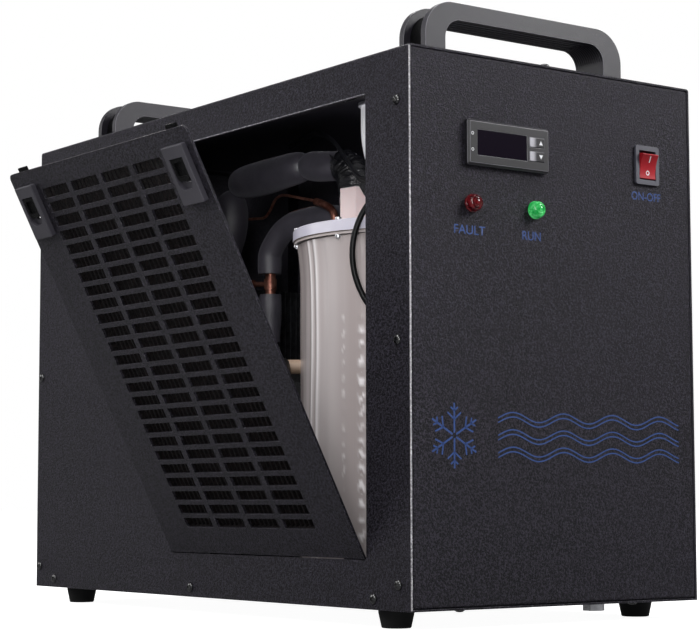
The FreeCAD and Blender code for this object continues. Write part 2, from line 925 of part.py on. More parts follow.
def make_latch_housing(y0, y1):
    """Raised latch housing with a round-bottomed finger pocket."""
    z1 = door_z1 - latch_from_top
    z0 = z1 - latch_length
    face = left_x - latch_rise
    housing = block(face, left_x, y0, y1, z0, z1)
    housing = housing.makeFillet(latch_corner, edges_along(housing, V(1, 0, 0)))
    housing = housing.makeFillet(latch_corner * 0.8, [
        edge for edge in housing.Edges if abs(edge.CenterOfMass.x - face) < 0.01])
    middle = (y0 + y1) / 2
    half = pocket_width / 2
    pocket_z1 = z1 - pocket_from_top
    pocket = block(face - 1, left_x - pocket_floor, middle - half, middle + half,
                   pocket_z1 - pocket_length, pocket_z1)
    pocket = rounded(pocket, V(1, 0, 0), half * pocket_round,
                     lambda centre: centre.z < pocket_z1 - pocket_length + 1)
    housing = housing.cut([pocket, latch_window(y0, y1, face - 1, left_x + 1)])
    return tip_door(housing)


def make_latch_slider(y0, y1):
    """Finger slider with its stem and the tongue behind the door."""
    middle = (y0 + y1) / 2
    face = left_x - latch_rise + slider_sink
    floor = left_x - pocket_floor - slider_gap
    z1 = slider_top()
    z0 = z1 - slider_length
    half = pocket_width / 2 - slider_gap
    body = block(face, floor, middle - half, middle + half, z0, z1)
    body = rounded(body, V(1, 0, 0), pocket_width / 2 * pocket_round - slider_gap,
                   lambda centre: centre.z < z0 + 1)
    hollow = block(face - 1, face + slider_hollow_depth, middle - half + 3, middle + half - 3, z0 + 4, z1 - 3)
    body = body.cut(rounded(hollow, V(1, 0, 0), 2.0))
    stem_z1 = z1 - (slider_length - stem_length) / 2
    tongue_x0 = door_back + slider_gap
    stem = block(floor, tongue_x0, middle - stem_width / 2, middle + stem_width / 2,
                 stem_z1 - stem_length, stem_z1)
    tongue = block(tongue_x0, tongue_x0 + tongue_sheet, middle - tongue_width / 2,
                   middle + tongue_width / 2, stem_z1 - stem_length, door_z1 + tongue_reach)
    return tip_door(body.fuse([stem, tongue]).removeSplitter())


def button_box(index, grow=0.0):
    """Outline of one controller button as (x0, x1, z0, z1)."""
    x0 = controller_x - controller_width / 2 + button_from_left
    middle = controller_z
    lift = (button_height + button_gap_between) / 2 * (1 if index == 0 else -1)
    return (x0 - grow, x0 + button_width + grow,
            middle + lift - button_height / 2 - grow, middle + lift + button_height / 2 + grow)


def window_box(grow=0.0):
    """Outline of the display window as (x0, x1, z0, z1)."""
    x0 = controller_x - controller_width / 2 + window_from_left
    middle = controller_z
    return (x0 - grow, x0 + window_width + grow,
            middle - window_height / 2 - grow, middle + window_height / 2 + grow)


def make_controller_case():
    """Controller housing with its bezel in front of the panel."""
    z = controller_z
    face = front_y - bezel_depth
    bezel = block(controller_x - controller_width / 2, controller_x + controller_width / 2,
                  face, front_y, z - controller_height / 2, z + controller_height / 2)
    bezel = rounded(bezel, V(0, 1, 0), bezel_corner)
    bezel = bezel.makeChamfer(bezel_bevel, [
        edge for edge in bezel.Edges if abs(edge.CenterOfMass.y - face) < 0.01])
    body = block(controller_x - controller_cut_width / 2, controller_x + controller_cut_width / 2,
                 front_y, front_y + controller_body_depth,
                 z - controller_cut_height / 2, z + controller_cut_height / 2)
    case = bezel.fuse(body)
    for index in (0, 1):
        x0, x1, z0, z1 = button_box(index, button_clearance)
        case = case.cut(block(x0, x1, face - 1, face + button_depth + button_travel + button_clearance, z0, z1))
    x0, x1, z0, z1 = window_box()
    return case.cut(block(x0, x1, face - 1, face + window_sink + window_thickness, z0, z1))


def make_controller_window():
    """Dark display window set into the bezel."""
    x0, x1, z0, z1 = window_box()
    face = front_y - bezel_depth + window_sink
    return block(x0, x1, face, face + window_thickness, z0, z1)


def make_button(index):
    """Push button of the controller."""
    x0, x1, z0, z1 = button_box(index)
    face = front_y - bezel_depth - button_proud
    button = block(x0, x1, face, face + button_proud + button_depth, z0, z1)
    return rounded(button, V(0, 1, 0), button_corner)


def make_lens(x):
    """Domed lens of a signal lamp, on the front of the panel."""
    profile = [(0, 0), (lens_radius, 0), (lens_radius, lens_rim),
               (lens_radius * 0.82, lens_rise * 0.72), (lens_tip_radius, lens_rise), (0, lens_rise)]
    lens = turned(profile)
    lens.rotate(V(0, 0, 0), V(1, 0, 0), 90)
    lens.translate(V(x, front_y, lamp_z))
    return lens


def make_lamp_holders():
    """Threaded lamp bodies through the panel, each with its nut fused behind."""
    holders = []
    for x in (fault_lamp_x, run_lamp_x):
        seat = V(x, front_y, lamp_z)
        body = rod(lamp_thread_radius, seat, seat + V(0, lamp_body_length, 0))
        nut_at = seat + V(0, sheet, 0)
        nut = hexagon_rod(lamp_nut_radius * math.sqrt(3), nut_at, nut_at + V(0, lamp_nut_thickness, 0))
        holders.append(body.fuse(nut))
    return group(holders)


def rocker_pivot():
    """Point on the rocker's axis."""
    return V(switch_x, front_y - switch_bezel_depth + rocker_axis_behind, switch_z)


def make_switch_body():
    """Snap-in switch body with its bezel and the rocker's well."""
    z = switch_z
    face = front_y - switch_bezel_depth
    bezel = block(switch_x - switch_width / 2, switch_x + switch_width / 2, face, front_y,
                  z - switch_height / 2, z + switch_height / 2)
    bezel = rounded(bezel, V(0, 1, 0), bezel_corner)
    body = block(switch_x - switch_body_width / 2, switch_x + switch_body_width / 2,
                 front_y, front_y + switch_body_depth,
                 z - switch_body_height / 2, z + switch_body_height / 2)
    well = block(switch_x - rocker_width / 2 - rocker_clearance, switch_x + rocker_width / 2 + rocker_clearance,
                 face - 1, rocker_pivot().y + rocker_half_depth + 5,
                 z - rocker_height / 2 - rocker_clearance, z + rocker_height / 2 + rocker_clearance)
    switch = bezel.fuse(body).cut(well)
    pivot = rocker_pivot()
    reach = V(rocker_width / 2 + rocker_clearance, 0, 0)
    pin = rod(rocker_pin_radius, pivot - reach, pivot + reach)
    return switch.fuse(pin)


def make_rocker():
    """Rocker with a dished face, tipped to its off side."""
    pivot = rocker_pivot()
    x0 = switch_x - rocker_width / 2
    outline = block(x0, x0 + rocker_width, pivot.y - rocker_axis_behind - 6, pivot.y + rocker_half_depth,
                    pivot.z - rocker_height / 2 + 1.2, pivot.z + rocker_height / 2 - 1.2)
    round_back = rod(rocker_height / 2, pivot - V(rocker_width, 0, 0), pivot + V(rocker_width, 0, 0))
    rocker = outline.common(round_back)
    dish_at = V(0, pivot.y - rocker_axis_behind - rocker_dish_radius - 0.6, pivot.z)
    dish = rod(rocker_dish_radius, dish_at - V(2 * case_width, 0, 0), dish_at + V(2 * case_width, 0, 0))
    rocker = rocker.cut(dish)
    hole = rod(rocker_pin_radius + rocker_pin_gap, pivot - V(rocker_width, 0, 0),
               pivot + V(rocker_width, 0, 0))
    rocker = rocker.cut(hole)
    rocker.rotate(pivot, V(1, 0, 0), rocker_tilt)
    return rocker


def make_tank_body():
    """Round plastic tank with a flange under the lid."""
    outer = [(0, pan_top), (tank_radius, pan_top), (tank_radius, tank_top),
             (tank_flange_radius, tank_top), (tank_flange_radius, tank_top + tank_flange_thickness),
             (tank_radius - tank_wall, tank_top + tank_flange_thickness),
             (tank_radius - tank_wall, pan_top + tank_floor_thickness), (0, pan_top + tank_floor_thickness)]
    return turned(outer, tank_x, tank_y).cut(lid_screw_bars(lid_screw_radius + 0.1))


def lid_screw_bars(radius):
    """Upright bars at the places of the lid's screws."""
    bars = []
    for index in range(lid_screws):
        turn = math.radians(lid_screw_turn + 360.0 * index / lid_screws)
        x = tank_x + lid_screw_ring * math.cos(turn)
        y = tank_y + lid_screw_ring * math.sin(turn)
        bars.append(rod(radius, V(x, y, tank_top - lid_nut_height - lid_screw_tail), V(x, y, lid_top)))
    return bars


def make_tank_lid():
    """Thick lid with holes for its fittings and its screws."""
    bottom = tank_top + tank_flange_thickness
    profile = [(0, bottom), (lid_radius, bottom), (lid_radius, lid_top - lid_step),
               (lid_radius - lid_step, lid_top), (0, lid_top)]
    lid = turned(profile, tank_x, tank_y)
    holes = lid_screw_bars(lid_screw_radius + 0.1)
    for x, y, radius in ((level_sensor_x, level_sensor_y, level_sensor_neck + lid_hole_gap),
                         (filler_lid_x, neck_y, neck_bore),
                         (return_x, return_y, hose_radius),
                         (suction_x, suction_y, evaporator_radius + lid_hole_gap),
                         (injection_x, injection_y, evaporator_radius + lid_hole_gap)):
        holes.append(rod(radius, V(x, y, bottom - 1), V(x, y, lid_top + 1)))
    return lid.cut(holes)


def make_tank_lid_screws():
    """Lid screws, each with its head on top and its nut under the flange."""
    screws = []
    for bar in lid_screw_bars(lid_screw_radius):
        centre = bar.BoundBox.Center
        low = V(centre.x, centre.y, tank_top)
        high = V(centre.x, centre.y, lid_top)
        nut = rod(lid_screw_head, low - V(0, 0, lid_nut_height), low)
        head = rod(lid_screw_head, high, high + V(0, 0, lid_screw_head_height))
        screws.append(bar.fuse([nut, head]))
    return group(screws)


def make_evaporator():
    """Cooling coil of upright runs joined by bends, hanging from the lid."""
    low, high = evaporator_bottom, evaporator_top
    front = injection_y - evaporator_step
    rear_x = suction_x + evaporator_step
    points = [
        V(injection_x, injection_y, lid_top), V(injection_x, injection_y, low),
        V(injection_x, front, low), V(injection_x, front, high),
        V(injection_x, front - evaporator_step, high), V(injection_x, front - evaporator_step, low),
        V(rear_x, front - evaporator_step, low), V(rear_x, front - evaporator_step, high),
        V(rear_x, front, high), V(rear_x, front, low),
        V(suction_x, suction_y, low), V(suction_x, suction_y, lid_top),
    ]
    return tube(points, evaporator_radius)


def make_level_sensor():
    """Six-sided level switch head on the lid, sloped to one side, its float below."""
    foot = V(level_sensor_x, level_sensor_y, lid_top)
    top = lid_top + level_sensor_height
    body = hexagon_rod(level_sensor_flat, foot, foot + V(0, 0, level_sensor_height))
    body.rotate(foot, V(0, 0, 1), level_sensor_turn)
    reach = level_sensor_flat
    start = level_sensor_slope_start
    low = top - level_sensor_slope_fall
    corners = [(start, top), (start + level_sensor_slope_run, low), (reach, low), (reach, top + 1), (start, top + 1)]
    points = [V(x, -reach, z) for x, z in corners]
    slope = Part.Face(Part.makePolygon(points + [points[0]])).extrude(V(0, 2 * reach, 0))
    slope.rotate(V(0, 0, 0), V(0, 0, 1), level_sensor_slope_turn)
    slope.translate(V(foot.x, foot.y, 0))
    body = body.cut(slope)
    neck = rod(level_sensor_neck, V(foot.x, foot.y, tank_top), foot)
    stem = rod(float_stem_radius, V(foot.x, foot.y, tank_top - float_stem_length), V(foot.x, foot.y, tank_top))
    float_top = tank_top - float_depth
    float_ring = rod(float_radius, V(foot.x, foot.y, float_top - float_height), V(foot.x, foot.y, float_top))
    return body.fuse([neck, stem, float_ring]).removeSplitter()


# Route of the sensor's cable, hand placed: from behind the controller down past the tank
sensor_lead_route = [
    V(-60, -226, 358), V(-74, -205, 352), V(-87, -184, 342), V(-95, -168, 326),
    V(-100, -160, 307), V(-101, -157, 288), V(-98, -158, 268), V(-90, -163, 248),
    V(-81, -175, 234), V(-72, -190, 227),
]


def sensor_probe_axis():
    """Inner and outer end of the probe boss on the tank wall."""
    end = sensor_lead_route[-1]
    outward = unit(V(end.x - tank_x, end.y - tank_y, 0))
    return V(tank_x, tank_y, end.z) + outward * (tank_radius + 0.02), end


def make_sensor_lead():
    """Cable from the controller to the temperature probe on the tank."""
    path, radii = route(sensor_lead_route)
    solid = tube(sensor_lead_route, lead_radius)
    print("sensor lead: length %.0f mm, bends %s" % (path.Length, [round(r) for r in radii]))
    inner, outer = sensor_probe_axis()
    boss = rod(lead_radius + 2.0, inner, outer + unit(outer - inner) * 2.0)
    return solid.fuse(boss)


def make_filler_neck():
    """Threaded filler neck through the top sheet."""
    profile = [
        (neck_bore, inner_top - neck_drop), (neck_bore + neck_wall - 1, inner_top - neck_drop),
        (neck_bore + neck_wall - 1, inner_top - neck_nut), (neck_collar_radius - 3, inner_top - neck_nut),
        (neck_collar_radius - 3, inner_top), (neck_bore + neck_wall, inner_top),
        (neck_bore + neck_wall, top_z), (neck_collar_radius, top_z),
        (neck_collar_radius, top_z + neck_collar_height),
        (neck_bore + neck_wall, top_z + neck_collar_height), (neck_bore + neck_wall, top_z + neck_rise),
        (neck_bore, top_z + neck_rise),
    ]
    return turned(profile, neck_x, neck_y)


def make_filler_cap():
    """Screw cap with finger flutes round its skirt."""
    bottom = top_z + neck_collar_height + cap_gap
    inner = neck_bore + neck_wall + cap_gap
    outer = inner + cap_wall
    profile = [(inner, bottom), (outer, bottom), (outer, bottom + cap_height - 1.5),
               (outer - 1.5, bottom + cap_height), (0, bottom + cap_height),
               (0, top_z + neck_rise + cap_gap), (inner, top_z + neck_rise + cap_gap)]
    cap = turned(profile, neck_x, neck_y)
    flutes = []
    for index in range(cap_grips):
        turn = 2 * math.pi * index / cap_grips
        place = V(neck_x + (outer + 0.6) * math.cos(turn), neck_y + (outer + 0.6) * math.sin(turn), bottom - 1)
        flutes.append(rod(cap_grip_radius, place, place + V(0, 0, cap_height + 2)))
    return cap.cut(flutes)


def make_filler_hose():
    """White hose from the filler neck down to the tank lid."""
    bore = neck_bore + neck_wall - 1 + hose_fit
    top = inner_top - neck_nut - hose_end_gap
    points = [V(neck_x, neck_y, top), V(neck_x, neck_y, inner_top - neck_drop - filler_hose_bend),
              V(filler_lid_x, neck_y, lid_top + filler_hose_straight), V(filler_lid_x, neck_y, lid_top)]
    return tube(points, bore + filler_hose_wall, bore)


def split_route(points, index, gap):
    """Two routes that part with a gap in the middle of one straight run."""
    before, after = points[index], points[index + 1]
    middle = (before + after) * 0.5
    half = unit(after.sub(before)) * (gap / 2)
    return points[:index + 1] + [middle - half], [middle + half] + points[index + 1:]


def return_route():
    """Route of the return line from the tank lid to the rear port."""
    port_z = base_z + return_port_above_base
    end = inner_y - port_nut_length - port_inner_length
    run_x = return_x - return_run_shift
    return [V(return_x, return_y, lid_top), V(return_x, return_y, return_top - 8),
            V(run_x, return_joint_y - 20, return_top), V(run_x, return_joint_y + 20, return_top),
            V(run_x, return_bend_y, return_top - 1), V(run_x - 3, return_bend_y + 1, return_top - 37),
            V(run_x - 5, return_bend_y + 5, return_top - 59),
            V(run_x - 24, return_bend_y + 37, lid_top - 68),
            V(port_x + 12, return_bend_y + 83, port_z + 54), V(port_x + 2, return_bend_y + 105, port_z + 12),
            V(port_x, end - 18, port_z), V(port_x, end, port_z)]


def make_return_foam():
    """Foam sleeves of the return line: elbow, run along the side and drop."""
    elbow, rest = split_route(return_route(), 2, foam_gap)
    run, drop = split_route(rest, 3, foam_gap)
    return (tube(elbow, return_foam_radius), tube(run, return_foam_radius),
            tube(drop, return_foam_radius))


def suction_route():
    """Route of the suction line from the tank lid to the compressor's side port."""
    return [V(suction_x, suction_y, lid_top), V(suction_x, suction_y, lid_top + 16),
            V(suction_x - 4, suction_y + 20, lid_top + 31), V(suction_x - 9, suction_y + 56, lid_top + 33),
            V(suction_x - 14, suction_y + 86, lid_top + 29),
            V(suction_x - suction_side, suction_y + suction_reach, lid_top + 4),
            V(suction_x - suction_side, suction_y + suction_reach, suction_port_top)]


def make_suction_foam():
    """Two foam sleeves of the suction line, with the joint left bare between."""
    whole = tube(suction_route(), suction_foam_radius, copper_radius + foam_fit)
    end = suction_route()[-1]
    reach = 2 * suction_foam_radius
    bare_top = lid_top - suction_bare_from
    below = block(end.x - reach, end.x + reach, end.y - reach, end.y + reach, 0, bare_top)
    lower = ring(suction_foam_radius - 1, copper_radius + foam_fit, V(end.x, end.y, bare_top - suction_bare),
                 V(end.x, end.y, end.z + suction_foam_stop))
    return group([whole.cut(below), lower])


def make_suction_line():
    """Copper suction pipe with its brazed socket and service valve."""
    end = suction_route()[-1]
    pipe = tube(suction_route(), copper_radius)
    joint = V(end.x, end.y, lid_top - suction_bare_from - suction_bare / 2)
    socket = rod(copper_radius + 1.0, joint - V(0, 0, 5), joint + V(0, 0, 5))
    branch_end = joint + V(-4, 22, 2)
    branch = rod(2.4, joint, branch_end)
    valve = rod(4.0, branch_end, branch_end + V(-2, 12, 1))
    return pipe.fuse([socket, branch, valve]).removeSplitter()


def make_capillary():
    """Thin copper capillary from the drier to the injection stub on the lid."""
    start = V(drier_x, drier_y, drier_top + drier_neck)
    joint = V(injection_x - 1, injection_y + 27, lid_top + 36.5)
    away = V(0, -1, -0.3)
    points = [start, start + V(0, 0, 20), joint + V(-13, 166, -30), joint + V(5, 154, -3),
              joint + V(17, 130, 1), joint + V(19, 109, -1), joint + V(19, 99, 6), joint + V(16, 88, 13.5),
              joint + V(9, 68, 15), joint + V(2, 45, 11), joint + V(1, 18, 4.5),
              joint - away * 8, joint]
    thin = tube(points, capillary_radius)
    thick = tube([joint, joint + away * 10, V(injection_x, injection_y, lid_top + 25.5),
                  V(injection_x, injection_y, lid_top)], injection_radius)
    return thin.fuse(thick)


def make_drier():
    """Copper filter drier with necked ends."""
    profile = [(0, drier_bottom - drier_neck), (injection_radius, drier_bottom - drier_neck),
               (injection_radius, drier_bottom - 4), (drier_radius, drier_bottom + 4),
               (drier_radius, drier_top - 4), (injection_radius, drier_top + 4),
               (injection_radius, drier_top + drier_neck), (0, drier_top + drier_neck)]
    return turned(profile, drier_x, drier_y)


def condenser_x(side):
    """Left (-1) or right (1) side of the condenser."""
    return condenser_centre_x + side * condenser_width / 2


def run_height(index):
    """Height of one tube run of the condenser."""
    pitch = condenser_height / condenser_runs
    return condenser_bottom + pitch * (index + 0.5)


def make_condenser_coil():
    """Serpentine copper tube: runs across the fins joined by bends at the ends."""
    y = (condenser_front + condenser_back) / 2
    pitch = condenser_height / condenser_runs
    half = condenser_width / 2
    pieces = []
    for index in range(condenser_runs):
        z = run_height(index)
        pieces.append(rod(condenser_tube_radius, V(condenser_centre_x - half, y, z),
                          V(condenser_centre_x + half, y, z)))
    for index in range(condenser_runs - 1):
        side = 1 if index % 2 == 0 else -1
        centre = V(condenser_centre_x + side * half, y, (run_height(index) + run_height(index + 1)) / 2)
        bend = Part.makeTorus(pitch / 2, condenser_tube_radius, centre, V(0, 1, 0))
        keep = block(*sorted((centre.x, centre.x + side * pitch)), y - 20, y + 20,
                     centre.z - pitch, centre.z + pitch)
        pieces.append(bend.common(keep))
    return pieces[0].fuse(pieces[1:]).removeSplitter()


def make_condenser_fins():
    """Upright fins and two end plates pressed on the tubes."""
    fins = []
    count = int(condenser_width / fin_pitch)
    for index in range(count + 1):
        end = index in (0, count)
        thickness = condenser_end_plate if end else fin_thickness
        x = condenser_x(-1) + thickness / 2 + index * (condenser_width - thickness) / count
        fins.append(block(x - thickness / 2, x + thickness / 2, condenser_front, condenser_back,
                          condenser_bottom if not end else pan_top,
                          condenser_bottom + condenser_height))
    return group(fins)


def make_liquid_line():
    """Copper line from the condenser's lowest run to the filter drier."""
    y = (condenser_front + condenser_back) / 2
    z = run_height(0)
    start = V(condenser_x(-1), y, z)
    end = V(drier_x, drier_y, drier_bottom - drier_neck)
    return tube([start, start - V(14, 0, 0), start + V(-14, -24, 4), V(end.x - 18, end.y + 8, z + 12),
                 V(end.x, end.y, z + 22), end], injection_radius)


def discharge_port():
    """Top centre of the compressor's discharge port."""
    return V(compressor_x + discharge_port_side, compressor_y + discharge_port_back, compressor_top + 3)


def make_discharge_line():
    """Copper line from the compressor's top port to the condenser's top run."""
    y = (condenser_front + condenser_back) / 2
    z = run_height(condenser_runs - 1)
    start = discharge_port()
    side = condenser_x(1)
    return tube([start, start + V(0, 0, 30), V(side - 30, compressor_y + 54, z - 18),
                 V(side - 4, y - 42, z - 3), V(side + 12, y - 22, z), V(side + 12, y, z), V(side, y, z)],
                injection_radius)


def make_compressor():
    """Welded compressor can on its foot plate."""
    r, low, high, dome = compressor_radius, compressor_bottom, compressor_top, compressor_dome
    seam = (low + high) / 2 + 20
    half = compressor_seam_height / 2
    profile = [(0, low - 2), (r * 0.55, low), (r * 0.85, low + dome * 0.35), (r, low + dome),
               (r, seam - half), (r + compressor_seam, seam - half), (r + compressor_seam, seam + half),
               (r, seam + half), (r, high - dome), (r * 0.92, high - dome * 0.5),
               (r * 0.7, high - dome * 0.15), (r * 0.35, high), (0, high)]
    can = turned(profile, compressor_x, compressor_y)
    plate_z = low + 4
    reach = compressor_foot_radius + grommet_radius
    plate = block(-reach, reach, -12, 12, plate_z, plate_z + compressor_plate)
    cross = block(-12, 12, -reach, reach, plate_z, plate_z + compressor_plate)
    plate = plate.fuse(cross)
    plate = rounded(plate, V(0, 0, 1), 5.0)
    plate.rotate(V(0, 0, 0), V(0, 0, 1), 45)
    plate.translate(V(compressor_x, compressor_y, 0))
    holes = [rod(grommet_waist, place - V(0, 0, 5), place + V(0, 0, 5)) for place in mount_places(plate_z)]
    discharge = discharge_port()
    suction = suction_route()[-1]
    ports = [rod(discharge_port_radius, discharge - V(0, 0, compressor_dome), discharge),
             rod(suction_port_radius, suction - V(0, 0, suction_port_length), suction)]
    return can.fuse([plate] + ports).cut(holes).removeSplitter()


def mount_places(height):
    """Centres of the compressor's four mounts at a height."""
    places = []
    for index in range(4):
        turn = math.radians(45 + 90 * index)
        places.append(V(compressor_x + compressor_foot_radius * math.cos(turn),
                        compressor_y + compressor_foot_radius * math.sin(turn), height))
    return places


def make_compressor_mounts():
    """Waisted rubber grommets, each on its bolt from the base pan."""
    plate_z = compressor_bottom + 4
    mounts = []
    for place in mount_places(0):
        profile = [(0, pan_top), (grommet_radius, pan_top), (grommet_radius, plate_z),
                   (grommet_waist, plate_z), (grommet_waist, plate_z + compressor_plate),
                   (grommet_radius - 1, plate_z + compressor_plate),
                   (grommet_radius - 1, plate_z + compressor_plate + 4),
                   (grommet_bolt, plate_z + compressor_plate + 4),
                   (grommet_bolt, plate_z + compressor_plate + 10), (0, plate_z + compressor_plate + 10)]
        mounts.append(turned(profile, place.x, place.y))
    return group(mounts)


def make_compressor_cover():
    """Terminal cover on the front of the compressor."""
    z = (compressor_bottom + compressor_top) / 2 - 22
    y1 = compressor_y - compressor_radius
    cover = block(compressor_x - cover_width / 2, compressor_x + cover_width / 2,
                  y1 - cover_depth, compressor_y, z - cover_height / 2, z + cover_height / 2)
    cover = rounded(cover, V(0, 0, 1), 6.0, lambda centre: centre.y < y1)
    can = rod(compressor_radius, V(compressor_x, compressor_y, 0), V(compressor_x, compressor_y, top_z))
    return cover.cut(can)


def make_fan_shroud():
    """Shroud box behind the condenser with the fan's ring."""
    x0, x1 = condenser_x(-1) - shroud_wall, condenser_x(1) + shroud_wall
    z0, z1 = condenser_bottom - shroud_wall, condenser_bottom + condenser_height + shroud_wall
    back = condenser_back + shroud_box_depth
    box = block(x0, x1, condenser_back, back, z0, z1)
    hollow = block(x0 + shroud_wall, x1 - shroud_wall, condenser_back - 1, back - shroud_wall,
                   z0 + shroud_wall, z1 - shroud_wall)
    centre = V(condenser_centre_x, 0, fan_z)
    outer_ring = rod(fan_ring_radius + shroud_wall, centre + V(0, motor_front(), 0), centre + V(0, inner_y, 0))
    bore = rod(fan_ring_radius, centre + V(0, condenser_back, 0), centre + V(0, rear_y, 0))
    return box.cut(hollow).fuse(outer_ring).cut(bore).removeSplitter()


def fan_back():
    """Rear face of the fan hub."""
    return inner_y - 4.0


def motor_front():
    """Front face of the motor and of its arms."""
    return fan_back() - fan_hub_length - motor_gap - motor_length


def make_fan_rotor():
    """Hub with cambered blades and its shaft."""
    back = fan_back()
    front = back - fan_hub_length
    centre = V(condenser_centre_x, 0, fan_z)
    hub = rod(fan_hub_radius, centre + V(0, front, 0), centre + V(0, back, 0))
    tip = fan_ring_radius - fan_tip_gap
    middle_y = (front + back) / 2
    blades = []
    for index in range(fan_blades):
        half = fan_blade_chord / 2
        rise, wall = fan_blade_camber, fan_blade_thickness
        low = Part.Arc(V(-half, 0, 0), V(0, rise, 0), V(half, 0, 0)).toShape()
        high = Part.Arc(V(-half, wall, 0), V(0, rise + wall, 0), V(half, wall, 0)).toShape()
        ends = [Part.LineSegment(V(side * half, 0, 0), V(side * half, wall, 0)).toShape() for side in (-1, 1)]
        face = Part.Face(Part.Wire(Part.__sortEdges__([low, high] + ends)))
        blade = face.extrude(V(0, 0, tip + 4))
        blade.rotate(V(0, 0, 0), V(0, 0, 1), 90 - fan_blade_angle)
        blade.translate(V(0, middle_y - rise / 2, 0))
        blade.rotate(V(0, 0, 0), V(0, 1, 0), 360.0 * index / fan_blades)
        blade.translate(centre)
        blades.append(blade)
    sweep = rod(tip, centre + V(0, front, 0), centre + V(0, back + 1, 0))
    rotor = hub.fuse([blade.common(sweep) for blade in blades])
    shaft = rod(fan_shaft_radius, centre + V(0, front - motor_length, 0), centre + V(0, front, 0))
    return rotor.fuse(shaft).removeSplitter()


def make_fan_motor():
    """Motor in front of the hub, on arms that reach the shroud's ring."""
    y0 = motor_front()
    y1 = y0 + motor_length
    centre = V(condenser_centre_x, 0, fan_z)
    motor = rod(motor_radius, centre + V(0, y0, 0), centre + V(0, y1, 0))
    arms = []
    for index in range(motor_arms):
        arm = block(centre.x, centre.x + fan_ring_radius, y0, y0 + motor_arm_sheet,
                    centre.z - motor_arm_width / 2, centre.z + motor_arm_width / 2)
        arm.rotate(centre, V(0, 1, 0), 45 + 360.0 * index / motor_arms)
        arms.append(arm)
    reach = rod(fan_ring_radius, centre + V(0, y0 - 1, 0), centre + V(0, y1 + 1, 0))
    bore = rod(fan_shaft_radius + fan_shaft_gap, centre + V(0, y0 - 1, 0), centre + V(0, y1 + 1, 0))
    return motor.fuse(arms).common(reach).cut(bore).removeSplitter()


def make_power_inlet():
    """Appliance inlet with its recessed well and three pins."""
    z = inlet_z
    flange = block(inlet_x - inlet_flange_width / 2, inlet_x + inlet_flange_width / 2,
                   rear_y, rear_y + inlet_flange_depth, z - inlet_flange_height / 2, z + inlet_flange_height / 2)
    flange = rounded(flange, V(0, 1, 0), 4.0)
    body = block(inlet_x - inlet_cut_width / 2, inlet_x + inlet_cut_width / 2,
                 rear_y - inlet_body_depth, rear_y, z - inlet_cut_height / 2, z + inlet_cut_height / 2)
    well = block(inlet_x - inlet_well_width / 2, inlet_x + inlet_well_width / 2,
                 rear_y + inlet_flange_depth - inlet_well_depth, rear_y + inlet_flange_depth + 1,
                 z - inlet_well_height / 2, z + inlet_well_height / 2)
    well = rounded(well, V(0, 1, 0), 4.5, lambda centre: centre.z > z)
    inlet = flange.fuse(body).cut(well)
    for offset, lift in ((-inlet_pin_pitch, -2.0), (0.0, 2.0), (inlet_pin_pitch, -2.0)):
        x = inlet_x + offset
        inlet = inlet.fuse(block(x - inlet_pin_width / 2, x + inlet_pin_width / 2,
                                 rear_y + inlet_flange_depth - inlet_well_depth - 1, rear_y - 1,
                                 z + lift - inlet_pin_height / 2, z + lift + inlet_pin_height / 2))
    return inlet.removeSplitter()


def make_water_ports():
    """Two bulkhead fittings with threaded mouths at the rear."""
    ports = []
    for height in (return_port_above_base, supply_port_above_base):
        seat = V(port_x, rear_y, base_z + height)
        mouth = seat + V(0, port_hex_length, 0)
        inner = V(port_x, inner_y, seat.z)
        head = hexagon_rod(port_hex_flat, seat, mouth)
        body = rod(port_body_radius, inner - V(0, port_nut_length + 1, 0), seat)
        nut = hexagon_rod(port_hex_flat, inner - V(0, port_nut_length, 0), inner)
        barb = rod(port_body_radius - 2, inner - V(0, port_nut_length + port_inner_length, 0), inner)
        thread = rod(port_thread_radius, mouth - V(0, port_thread_length, 0), mouth + V(0, 1, 0))
        bore = rod(port_barb_bore, inner - V(0, port_nut_length + port_inner_length + 1, 0), mouth)
        ports.append(head.fuse([body, nut, barb]).cut([thread, bore]).removeSplitter())
    return group(ports)


def make_pump():
    """Circulation pump on a rubber foot, its ports on top and behind."""
    foot_top = pan_top + pump_foot
    motor_top = foot_top + pump_motor_height
    head_top = motor_top + pump_head_height
    profile = [(0, pan_top), (pump_radius - 3, pan_top), (pump_radius - 3, foot_top),
               (pump_radius, foot_top), (pump_radius, motor_top), (pump_head_radius, motor_top),
               (pump_head_radius, head_top - 3), (pump_head_radius - 3, head_top), (0, head_top)]
    pump = turned(profile, pump_x, pump_y)
    intake = rod(pump_port_radius, V(pump_x, pump_y, head_top), V(pump_x, pump_y, head_top + pump_port_length))
    outlet_z = motor_top + pump_head_height / 2
    outlet = rod(pump_port_radius, V(pump_x - 14, pump_y, outlet_z),
                 V(pump_x - 14, pump_y + pump_head_radius + pump_port_length, outlet_z))
    return pump.fuse([intake, outlet]).removeSplitter()


# Height at which the pump's intake hose leaves the tank wall
tank_port_z = 205.0


def make_pump_hoses():
    """Hose from the tank to the pump, and hose from the pump to the supply port."""
    motor_top = pan_top + pump_foot + pump_motor_height
    head_top = motor_top + pump_head_height
    outward = unit(V(-76, 55, 0))
    wall = V(tank_x, tank_y, tank_port_z) + outward * (tank_radius + 0.05)
    intake = tube([wall, wall + outward * 18, wall + outward * 22 + V(0, 22, -22),
                   V(pump_x - 4, -10, tank_port_z - 62), V(pump_x - 2, 72, head_top + 70),
                   V(pump_x, pump_y, head_top + 44), V(pump_x, pump_y, head_top + pump_port_length)],
                  hose_radius)
    start = V(pump_x - 14, pump_y + pump_head_radius + pump_port_length, motor_top + pump_head_height / 2)
    end = V(port_x, inner_y - port_nut_length - port_inner_length, base_z + supply_port_above_base)
    supply = tube([start, start + V(0, 20, 0), V(port_x, end.y - 36, end.z), end], hose_radius)
    return group([intake, supply])


